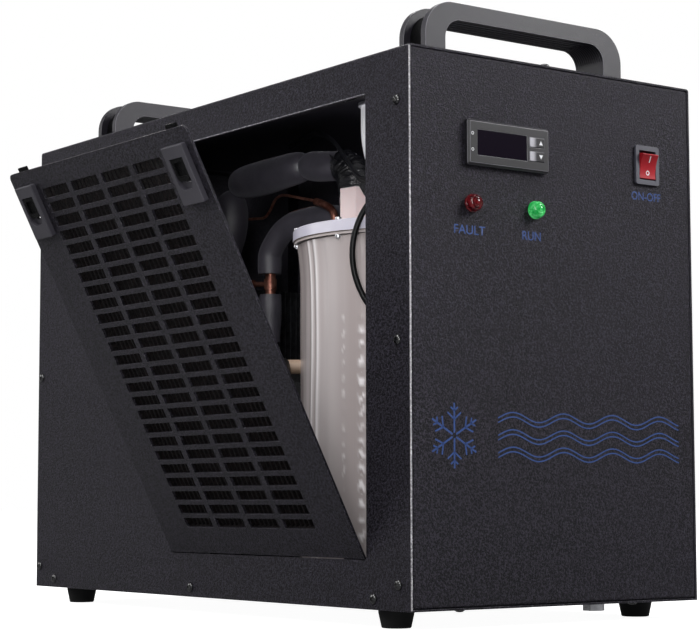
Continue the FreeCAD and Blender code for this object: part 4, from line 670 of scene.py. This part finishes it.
def settle(piece, finish_name, *replaced, body="chassis"):
    """Finish, body and the solids that a piece stands for."""
    dress(piece, finish_name)
    if replaced:
        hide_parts(*replaced)
    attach(piece, body)
    return piece


elbow = strand("return_foam_elbow_sleeve", [
    (-30, -66, 318.8, 13.0), (-30, -66, 345, 13.6), (-30, -65, 366, 13.0), (-31, -60, 380, 12.6),
    (-36, -44, 380, 13.2), (-38, -28, 382, 13.4), (-38, -14, 384.5, 12.8), (-38, -6.5, 386, 11.0),
    (-38, -4.4, 386.5, 8.0)], 14.5, 12, 14)
dent(elbow, 22.0, 0.9)
settle(elbow, "foam", "return_foam_elbow")
run = strand("return_foam_run_sleeve", [
    (-38, -3.6, 386.4, 8.0), (-38, -1.5, 386.3, 11.5), (-38, 7, 386, 14.0), (-38.2, 30, 385.2, 15.0),
    (-38.6, 58, 384, 15.8), (-39, 80, 383.6, 15.6), (-39.4, 97, 383.8, 14.0), (-39.8, 106, 384, 10.0),
    (-40, 108.5, 384.2, 5.0)], 14.5, 12, 14)
dent(run, 40.0, 0.8)
settle(run, "foam", "return_foam_run")
drop = strand("return_foam_drop_sleeve", [
    (-41, 113, 377, 5.0), (-41, 112.5, 374, 10.5), (-41, 111.5, 366, 14.5), (-41.5, 110, 350, 15.4),
    (-43, 113, 327.5, 14.6), (-62, 145, 250.5, 14.5), (-110, 191, 150, 14.5), (-120, 213, 108, 14.0),
    (-122, 247.5, 96, 14.2), (-122, 265.5, 96, 13.6)], 14.5, 12, 16)
dent(drop, 34.0, 0.8)
settle(drop, "foam", "return_foam_drop")

upper = strand("suction_foam_upper", [
    (-4, -28, 319, 10.4), (-4, -28, 334), (-8, -8, 344), (-13, 28, 345), (-18, 58, 340),
    (-21.5, 77.5, 320), (-21.5, 77.5, 306, 11.2), (-21.5, 77.5, 299, 10.4)], 10.6, 12, 14)
dent(upper, 26.0, 0.5)
lower = strand("suction_foam_lower", [
    (-21, 77, 280), (-21, 77, 268, 10.4), (-21, 77, 252, 9.8), (-21, 77, 236.5, 9.4)], 9.8, 12, 10)
dent(lower, 20.0, 0.5)
settle(upper, "foam", "suction_foam")
settle(lower, "foam")
print("foam sleeves: 5")

# %% Sensor lead, control leads and pump hoses
sensor_route = [(-60, -226, 358), (-74, -205, 352), (-87, -184, 342), (-95, -168, 326), (-100, -160, 307),
                (-101, -157, 288), (-98, -158, 268), (-90, -163, 248), (-81, -175, 234), (-72, -190, 227)]
lead = strand("sensor_cable", sensor_route, 2.4, 6, 12)
settle(lead, "cable", "sensor_lead")
thin_route = [(-50, -226, 364), (-50, -200, 363), (-49, -150, 359), (-46, -112, 357.5), (-45, -94, 359.5),
              (-44, -79, 375), (-43, -60, 394), (-38, -36, 407), (-30, -8, 415), (-14, 30, 418), (4, 80, 418)]
for index in range(2):
    shifted = [(x - 2.6 * index, y, z + 2.6 * index) for x, y, z in thin_route]
    wire = strand("control_lead_%d" % (index + 1), shifted, 1.6, 5, 10)
    settle(wire, "thin_lead", *(["controller_leads"] if index == 0 else []))
intake = [(-92.5, -46.5, 205), (-96.5, -49.5, 203), (-99.5, -57, 195), (-107, -39, 178), (-99, -10, 143),
          (-97, 72, 143.5), (-95, 118, 117.5), (-95, 118, 85.5)]
settle(strand("pump_intake_hose", intake, 8.5, 8, 12), "cable", "pump_hoses")
supply = [(-109, 161, 65.5), (-109, 181, 65.5), (-122, 229.5, 56), (-122, 265.5, 56)]
settle(strand("pump_supply_hose", supply, 8.5, 8, 12), "cable")
spigot = strand("tank_outlet_spigot", [(-79, -55.5, 205), (-86, -50.5, 205), (-96, -43.5, 205)], 6.0, 10, 6)
settle(spigot, "spigot_beige")
print("leads: 3, hoses: 2")

# %% [markdown]
# Words and signs are screen printed in blue ink, a twentieth of a millimetre thick.
# The words here are plain ones for a lamp and a switch, and the large picture is a
# snowflake beside waves of water, which says cold water in any language.

# %% Printed words
panel_face = -288.06
stand_up = Matrix.Rotation(math.radians(90.0), 4, "X")


def printed(words, x, z, height, width):
    """Flat words on the front, centred on a point and stretched to a width, in mm."""
    bpy.ops.object.text_add()
    piece = bpy.context.object
    piece.name = "print_" + words.lower()
    piece.data.body = words
    piece.data.align_x = "CENTER"
    piece.data.align_y = "CENTER"
    piece.data.offset = 0.004
    pick(piece)
    bpy.ops.object.convert(target="MESH")
    piece = bpy.context.object
    size = piece.dimensions.copy()
    middle = sum((Vector(corner) for corner in piece.bound_box), Vector()) / 8.0
    scale = Matrix.Diagonal((width * MM / size.x, height * MM / size.y, 1.0, 1.0))
    place = Matrix.Translation((x * MM, panel_face * MM, z * MM)) @ stand_up
    piece.data.transform(place @ scale @ Matrix.Translation(-middle))
    piece.matrix_world = Matrix.Identity(4)
    return piece


for words, x, z, height, width in (("FAULT", -88.0, 294.0, 6.8, 30.0), ("RUN", -27.0, 294.0, 6.8, 18.5),
                                   ("ON-OFF", 95.0, 335.0, 6.6, 32.0)):
    settle(printed(words, x, z, height, width), "blue_ink")
print("words printed: 3")

# %% Printed snowflake and waves
def print_line(name, points, width, lay=lambda x, z: (x, panel_face, z)):
    """A flat printed line on the front through points (x, z), as one mesh ribbon."""
    mesh = bpy.data.meshes.new(name)
    corners, faces = [], []
    for index, (x, z) in enumerate(points):
        before = Vector(points[max(index - 1, 0)])
        after = Vector(points[min(index + 1, len(points) - 1)])
        along = (after - before).normalized()
        side = Vector((-along.y, along.x)) * width / 2
        corners += [(x + side.x, z + side.y), (x - side.x, z - side.y)]
        if index:
            faces.append((2 * index - 2, 2 * index - 1, 2 * index + 1, 2 * index))
    mesh.from_pydata([Vector(lay(*corner)) * MM for corner in corners], [], faces)
    return placed(name, mesh)


def corner_highlight_ribbon(name, top, bottom, width):
    """A thin painted highlight strip down a corner of the sheet, a little uneven."""
    steps = 60
    line = [(top[0] + width * (0.5 + 0.12 * noise.noise(Vector((step * 0.7, 3.0, width)))),
             top[1] + (bottom[1] - top[1]) * step / steps) for step in range(steps + 1)]
    return print_line(name, line, width)


# painted highlight: a bright strip down the front left corner of the case
corner_highlight = corner_highlight_ribbon("corner_highlight_strip", (-145.0, 426.5), (-145.0, 15.0), 1.6)
settle(corner_highlight, "painted_corner_highlight")
# painted highlight: two thin pale strips along the top edge of the side opening and its inward lip
opening_rear, opening_front = 42.6, -234.0
lip_highlight = print_line("opening_lip_highlight_outer", [(opening_front, 398.7), (opening_rear, 398.7)], 0.8,
                 lambda y, z: (-145.05, y, z))
inner_lip_highlight = print_line("opening_lip_highlight_inner", [(opening_front, -143.7), (opening_rear, -143.7)], 0.7,
                       lambda y, x: (x, y, 398.14))
settle(lip_highlight, "painted_edge_highlight")
settle(inner_lip_highlight, "painted_edge_highlight")
strokes = []
centre = Vector((-104.0, 141.0))
reach = 24.0
for arm in range(6):
    turn = math.radians(60.0 * arm + 30.0)
    out = Vector((math.cos(turn), math.sin(turn)))
    strokes.append(print_line("flake_arm_%d" % arm, [centre + out * 2.0, centre + out * reach], 1.5))
    for place in (0.5, 0.76):
        for lean in (-1, 1):
            tilt = turn + lean * math.radians(52.0)
            start = centre + out * reach * place
            tip = start + Vector((math.cos(tilt), math.sin(tilt))) * reach * (1.05 - place) * 0.62
            strokes.append(print_line("flake_twig", [start, tip], 1.3))
top_wave, wave_gap, wave_height, wave_length = 154.0, 13.0, 3.6, 51.0
for row in range(3):
    for edge in (-1.7, 1.7):
        level = top_wave - wave_gap * row + edge
        wave = [(x, level + wave_height * math.sin((x + 60.0) / wave_length * 2.0 * math.pi))
                for x in range(-62, 129, 3)]
        strokes.append(print_line("wave_%d" % row, wave, 1.0))
pictogram = join(*strokes)
pictogram.name = "print_snowflake_and_waves"
settle(pictogram, "blue_ink")
print("printed strokes:", len(strokes))

# %% [markdown]
# Screws, lenses, film and ties are turned or cut, as on a lathe and a saw. Spin turns a
# profile about Z and a Boolean takes one piece out of another, so each of them is a
# helper, with one for a plain block and one that tells how to tilt a piece from Z.

# %% Turning, cutting and tilting
def cut_with(piece, cutter):
    """Cuts one piece with another, which is used up."""
    boolean = piece.modifiers.new("cut", "BOOLEAN")
    boolean.operation = "DIFFERENCE"
    boolean.solver = "EXACT"
    boolean.object = cutter
    apply(piece, boolean)
    bpy.data.objects.remove(cutter)


def fix_place(piece):
    """Puts a piece's place, turn and size into its mesh."""
    pick(piece)
    bpy.ops.object.transform_apply(location=True, rotation=True, scale=True)
    return piece


def spun(name, profile, steps=48):
    """A closed shape turned about Z from (radius, height) points in mm."""
    mesh = bpy.data.meshes.new(name)
    mesh.from_pydata([(r * MM, 0.0, h * MM) for r, h in profile],
                     [(i, i + 1) for i in range(len(profile) - 1)], [])
    piece = placed(name, mesh)
    pick(piece)
    bpy.ops.object.mode_set(mode="EDIT")
    bpy.ops.mesh.select_all(action="SELECT")
    bpy.ops.mesh.spin(steps=steps, angle=2.0 * math.pi, center=(0, 0, 0), axis=(0, 0, 1))
    bpy.ops.mesh.select_all(action="SELECT")
    bpy.ops.mesh.remove_doubles(threshold=0.000001)
    bpy.ops.mesh.normals_make_consistent(inside=False)
    bpy.ops.object.mode_set(mode="OBJECT")
    return piece


def block(place, size, turn=0.0):
    """A box of this size in mm, with its middle at a place and turned about Z."""
    bpy.ops.object.select_all(action="DESELECT")
    bpy.ops.mesh.primitive_cube_add(size=1.0, location=Vector(place) * MM, scale=Vector(size) * MM,
                                    rotation=(0, 0, turn))
    return fix_place(bpy.context.object)


def towards(outward):
    """The turn that takes Z to a direction."""
    return Vector((0, 0, 1)).rotation_difference(Vector(outward).normalized()).to_matrix().to_4x4()


print("lathe and saw ready")

# %% [markdown]
# A pan head screw is one shape used many times. It is modelled once: a crown spun from
# its profile, a short shank, and a cross cut in with two blocks. Each copy has its own
# mesh and is turned a little further, because no one lines screws up.

# %% Pan head screw
crown = [(0.0, 0.0), (4.0, 0.0), (4.0, 0.3), (3.8, 0.95), (3.35, 1.5), (2.65, 1.95), (1.8, 2.23),
         (0.9, 2.37), (0.0, 2.4)]
cross_length, cross_width = 4.3, 0.95
shank_radius, shank_length = 1.9, 7.0
screw = spun("screw", crown, 36)
cut_with(screw, block((0, 0, 2.1), (cross_length, cross_width, 1.5)))
cut_with(screw, block((0, 0, 2.1), (cross_width, cross_length, 1.5)))
bpy.ops.object.select_all(action="DESELECT")
bpy.ops.mesh.primitive_cylinder_add(vertices=20, radius=shank_radius * MM, depth=shank_length * MM,
                                    location=(0, 0, -shank_length / 2 * MM))
screw = join(screw, fix_place(bpy.context.object))
smooth(screw, 35)
dress(screw, "screw_black")
case_side = 145.0
places = []
for side in (-case_side, case_side):
    for z in (33.0, 210.5, 388.0):
        places += [((side, -273.5, z), (side, 0, 0)), ((side, 281.5, z), (side, 0, 0))]
    places += [((side, y, 22.0), (side, 0, 0)) for y in (-243.3, 11.4, 252.3)]
places.append(((-8.0, -283.5, 428.0), (0, 0, 1)))
places += [((x, -273.0, 14.0), (0, 0, -1)) for x in (-88.0, 88.0)]
for index, (seat, outward) in enumerate(places):
    copy = placed("case_screw_%02d" % (index + 1), screw.data.copy())
    spin = Matrix.Rotation(math.radians(37.0 * index), 4, "Z")
    copy.data.transform(Matrix.Translation(Vector(seat) * MM) @ towards(outward) @ spin)
    if index == 0:
        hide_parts("case_screws")
    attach(copy, "chassis")
bpy.data.objects.remove(screw)
print("screws placed:", len(places))

# %% [markdown]
# A signal lamp's lens is turned: a flange, a ribbed flank and a stepped dome whose
# rings break up the light. A profile is spun round its axis, then the flank is ribbed.

# %% Lamp lenses
lens_profile = [(0.0, 0.0), (6.9, 0.0), (6.9, 1.2), (6.4, 1.6), (6.4, 3.2), (6.2, 4.8), (5.6, 6.0),
                (4.9, 6.6), (4.6, 6.1), (4.2, 6.1), (3.8, 7.2), (3.0, 7.6), (2.7, 7.0), (2.2, 7.0),
                (1.8, 7.9), (0.9, 8.2), (0.0, 8.2)]
front_face, lamp_row = -288.0, 314.2
flank_bottom, flank_top = 1.5, 6.3
rib_count, rib_share = 20.0, 0.028
for node, x, name in (("fault_lamp", -85.6, "red_lens"), ("run_lamp", -23.4, "green_lens")):
    lens = spun(node + "_lens", lens_profile, 60)
    for vertex in lens.data.vertices:
        if flank_bottom * MM < vertex.co.z < flank_top * MM:
            around = math.atan2(vertex.co.y, vertex.co.x)
            vertex.co.xy *= 1.0 + rib_share * math.cos(rib_count * around)
    lens.data.transform(Matrix.Translation(Vector((x, front_face, lamp_row)) * MM) @ stand_up)
    smooth(lens, 38)
    settle(lens, name, node)
print("lenses: 2")

# %% [markdown]
# Marks on the rocker follow its curved face: a flat mark is laid on the face with a
# Shrinkwrap modifier that moves it straight back along Y. The marks on the keys and the bezel stay flat.

# %% Marks on the switch, the keys and the bezel
def laid_on(piece, target):
    """Presses a flat mark on to the front of a piece."""
    wrap = piece.modifiers.new("lay", "SHRINKWRAP")
    wrap.wrap_method = "PROJECT"
    wrap.use_project_y = True
    wrap.use_positive_direction = True
    wrap.use_negative_direction = False
    wrap.target = target
    wrap.offset = 0.03 * MM
    apply(piece, wrap)


def flat_mark(name, x, y, z, outline):
    """A flat shape on the front from (x, z) points about its centre."""
    mesh = bpy.data.meshes.new(name)
    mesh.from_pydata([((x + dx) * MM, y * MM, (z + dz) * MM) for dx, dz in outline], [],
                     [tuple(range(len(outline)))])
    return placed(name, mesh)


def flat_ring(name, x, y, z, inner, outer):
    """A flat ring on the front."""
    steps = 28
    corners, faces = [], []
    for index in range(steps):
        turn = 2.0 * math.pi * index / steps
        for radius in (inner, outer):
            corners.append(((x + radius * math.cos(turn)) * MM, y * MM, (z + radius * math.sin(turn)) * MM))
        after = (index + 1) % steps
        faces.append((2 * index, 2 * index + 1, 2 * after + 1, 2 * after))
    mesh = bpy.data.meshes.new(name)
    mesh.from_pydata(corners, [], faces)
    return placed(name, mesh)


before_rocker, key_face, bezel_face = -300.0, -293.04, -292.55
heights = (-2.4, -1.2, 0.0, 1.2, 2.4)
bar = [(-0.45, height) for height in heights] + [(0.45, height) for height in reversed(heights)]
bar_mark = flat_mark("mark_on", 95.9, before_rocker, 364.6, bar)
ring_mark = flat_ring("mark_off", 95.4, before_rocker, 354.0, 1.15, 1.95)
for mark in (bar_mark, ring_mark):
    laid_on(mark, dressed["switch_rocker"])
    settle(mark, "white_ink", body="rocker")
up_mark = flat_mark("mark_up", -20.9, key_face, 365.3, [(-1.9, -1.5), (1.9, -1.5), (0.0, 1.9)])
down_mark = flat_mark("mark_down", -20.9, key_face, 354.7, [(1.9, 1.5), (-1.9, 1.5), (0.0, -1.9)])
settle(up_mark, "white_ink", body="key_up")
settle(down_mark, "white_ink", body="key_down")
for index, z in enumerate((366.4, 354.2)):
    settle(flat_ring("bezel_mark_%d" % index, -88.2, bezel_face, z, 0.75, 1.25), "white_ink")
print("marks: 6")

# %% [markdown]
# The tank came wrapped in clear film. It is drawn in under the lid and pleated down the
# wall. The bright bands down two pleats and the glints on a band of small wrinkles are
# painted highlights, kept in a fold attribute that whitens the colour. The wrap is a spun sheet that
# is moved in and out by a few pleats and by noise that changes slowly up the wall.

# %% Film round the tank, and the gasket under its lid
tank_place = Matrix.Translation((-3.0 * MM, -111.0 * MM, 0.0))
film_radius, film_flare, flare_start, film_top = 94.5, 2.9, 262.0, 305.4
film_heights = [16.2, 22.0] + [30.0 + 3.0 * step for step in range(80)]
film_heights += [271.0, 277.0, 284.0, 291.0, 297.0, 301.0, film_top]
film_profile = []
for z in film_heights:
    flare = max(0.0, (z - flare_start) / (film_top - flare_start))
    film_profile.append((film_radius + film_flare * flare ** 2.4, z))
film = spun("tank_film", film_profile, 360)
pleats = ((171.0, 1.5, 0.9), (176.5, 2.2, 1.1), (186.0, 1.6, 0.7), (198.0, 2.4, 0.6), (211.0, 1.6, 1.0),
          (217.0, 1.3, 0.8), (240.0, 3.0, 0.7), (150.0, 3.0, 0.7), (120.0, 2.5, 0.7), (30.0, 3.0, 0.8))
shining_pleats = (171.0, 176.5)
wrinkles = ((206.0, 1.7, 1.0), (195.7, 1.2, 0.4))
wrinkles_bottom, wrinkles_top, wrinkle_length = 60.0, 245.0, 12.5
fold = film.data.attributes.new("fold", "FLOAT", "POINT")
for vertex, shine in zip(film.data.vertices, fold.data):
    angle = math.degrees(math.atan2(vertex.co.y, vertex.co.x)) % 360.0
    z = vertex.co.z / MM
    move = 0.55 * noise.noise(Vector((angle * 0.16, z * 0.012, 4.0)))
    for middle, width, depth in pleats:
        drift = angle - middle - 1.6 * noise.noise(Vector((middle, z * 0.011, 0.0)))
        drift = (drift + 180.0) % 360.0 - 180.0
        crease = math.exp(-(drift / width) ** 2)
        move += depth * crease * (0.55 + 0.45 * min(1.0, z / 300.0))
        # painted highlight down the two shining pleats
        if middle in shining_pleats:
            shine.value = max(shine.value, 0.75 * math.exp(-(drift / (0.6 * width)) ** 2))
    wrinkled = sum(share * math.exp(-((angle - middle) / width) ** 2) for middle, width, share in wrinkles)
    shift = 4.0 * noise.noise(Vector((angle * 0.3, z * 0.03, 9.0)))
    wave = math.sin(z * 2.0 * math.pi / wrinkle_length + shift)
    # painted reflection: glints on the small wrinkles
    if wrinkles_bottom < z < wrinkles_top:
        move += 0.5 * wrinkled * wave
        patchy = 0.5 + 0.9 * noise.noise(Vector((angle * 0.11, z * 0.05, 2.0)))
        shine.value = max(shine.value, min(0.85, max(0.0, wave * wrinkled * patchy - 0.06) * 2.4))
    scale = (move + vertex.co.xy.length / MM) * MM / vertex.co.xy.length
    vertex.co.xy *= scale
film.data.transform(tank_place)
smooth(film, 60)
settle(film, "tank_film")
gasket_profile = [(99.0, 308.5), (100.7, 308.5), (100.9, 309.1), (100.7, 309.7), (99.0, 309.7), (99.0, 308.5)]
gasket = spun("lid_gasket", gasket_profile, 120)
gasket.data.transform(tank_place)
smooth(gasket, 40)
settle(gasket, "gasket")
print("film and gasket")

# %% [markdown]
# Where the foam ends at the bend over the tank it is bound with tape and pulled tight
# with a cable tie. The tape is crumpled, so its skin is folded by a sharper noise.

# %% Tape and cable ties
tape = strand("tape_wrap", [
    (-30, -66, 352, 13.6), (-30, -66, 358, 14.6), (-30, -65, 366, 14.8), (-30.6, -62, 374, 14.4),
    (-32.5, -55, 379.5, 13.8), (-34.5, -50, 381.5, 12.6)], 14.0, 16, 30)
dent(tape, 7.0, 0.9, 1.1)
settle(tape, "tape")


def cable_tie(name, middle, along, radius):
    """A strap round a sleeve, with its square head and its cut-off tail."""
    outer = radius + 1.1
    edge = 1.3
    ring = spun(name, [(radius, -edge), (outer, -edge), (outer, edge), (radius, edge), (radius, -edge)])
    head = block((radius + 2.0, 0, 0), (3.4, 5.0, 4.6))
    tail = block((radius + 6.0, 3.0, 0), (9.0, 0.9, 2.4), 0.5)
    strap = join(ring, head, tail)
    soften = strap.modifiers.new("edges", "BEVEL")
    soften.width = 0.3 * MM
    soften.segments = 2
    soften.limit_method = "ANGLE"
    apply(strap, soften)
    head_side = Matrix.Rotation(math.radians(200.0), 4, "Z")
    strap.data.transform(Matrix.Translation(Vector(middle) * MM) @ towards(along) @ head_side)
    smooth(strap, 35)
    return settle(strap, "thin_lead")


cable_tie("cable_tie_bend", (-33.2, -53.5, 380.0), (-0.25, 0.85, 0.45), 13.2)
cable_tie("cable_tie_neck", (-30.0, -66.0, 352.0), (0.0, 0.0, 1.0), 13.4)
print("tape and ties")

# %% [markdown]
# The floor and the world are white to the camera and much darker to everything else, so
# that black paint stays black. A Light Path node tells which kind of ray asks.

# %% Floor and world
def seen(start, mirrored_share):
    """1 for the camera's own rays, a share for mirrored ones, 0 for the rest."""
    camera_ray = start.node("ShaderNodeLightPath", output=0)
    outputs = camera_ray.socket.node.outputs
    glossy = Wire(start.tree, outputs["Is Glossy Ray"])
    through = Wire(start.tree, outputs["Is Transmission Ray"])
    mirrored = glossy.math("MAXIMUM", glossy, through)
    return camera_ray.math("MAXIMUM", camera_ray, mirrored * mirrored_share)


def white(strength):
    return {"Color": (1.0, 1.0, 1.0, 1.0), "Strength": strength}


bpy.ops.mesh.primitive_plane_add(size=30.0, location=(0.0, 0.0, 0.0))
floor = bpy.context.object
floor.name = "floor"
paper = bpy.data.materials.new("floor")
paper.use_nodes = True
tree = paper.node_tree
tree.nodes.clear()
start = Wire(tree)
lit = start.node("ShaderNodeBsdfDiffuse", None, {"Color": (0.4, 0.4, 0.4, 1.0)})
glow = start.node("ShaderNodeEmission", None, white(0.97))
bright = start.node("ShaderNodeAddShader", None, {0: lit, 1: glow})
dim = start.node("ShaderNodeBsdfDiffuse", None, {"Color": (0.12, 0.12, 0.13, 1.0)})
choice = start.node("ShaderNodeMixShader", None, {0: seen(start, 0.16), 1: dim, 2: bright})
tree.links.new(choice.socket, tree.nodes.new("ShaderNodeOutputMaterial").inputs["Surface"])
floor.data.materials.append(paper)

world = bpy.context.scene.world or bpy.data.worlds.new("world")
bpy.context.scene.world = world
world.use_nodes = True
tree = world.node_tree
tree.nodes.clear()
start = Wire(tree)
dim = start.node("ShaderNodeBackground", None, white(0.2))
bright = start.node("ShaderNodeBackground", None, white(1.0))
sky = start.node("ShaderNodeMixShader", None, {0: seen(start, 0.06), 1: dim, 2: bright})
tree.links.new(sky.socket, tree.nodes.new("ShaderNodeOutputWorld").inputs["Surface"])
print("floor and world:", floor.name, world.name)

# %% [markdown]
# Six soft lamps stand round the object, and one narrow spot from low down on the left
# reaches the pipes through the opening. A lamp shines along its own -Z, so each one
# is turned until that axis points at its aim. Places and sizes are in metres.

# %% Lamps
def aimed(light, place, aim):
    """Hangs a light at a place and turns it to a point."""
    holder = bpy.data.objects.new(light.name, light)
    bpy.context.scene.collection.objects.link(holder)
    holder.location = place
    holder.rotation_euler = (Vector(aim) - Vector(place)).to_track_quat("-Z", "Y").to_euler()


def lamp(name, place, aim, size, power):
    """A square area lamp."""
    light = bpy.data.lights.new(name, "AREA")
    light.shape = "SQUARE"
    light.size = size
    light.energy = power
    aimed(light, place, aim)


lamp("key", (-2.4, -1.6, 2.0), (0.0, 0.0, 0.2), 1.6, 48.0)
lamp("over_door", (-1.5, 0.3, 2.2), (-0.1, 0.2, 0.25), 0.8, 22.0)
lamp("right", (0.95, -1.05, 1.15), (0.1, -0.25, 0.3), 0.6, 24.0)
lamp("rear_right", (1.6, 2.2, 1.6), (0.0, 0.2, 0.25), 1.2, 36.0)
lamp("top", (0.3, 0.4, 2.8), (0.0, 0.0, 0.3), 1.6, 36.0)
lamp("rear_left", (-1.7, 1.9, 1.1), (-0.1, 0.0, 0.25), 0.9, 13.0)
spot = bpy.data.lights.new("inside", "SPOT")
spot.energy = 74.0
spot.spot_size = math.radians(15.0)
spot.spot_blend = 0.5
spot.shadow_soft_size = 0.2
aimed(spot, (-1.3, -1.5, 0.24), (-0.06, -0.04, 0.3))
print("lamps: 7")
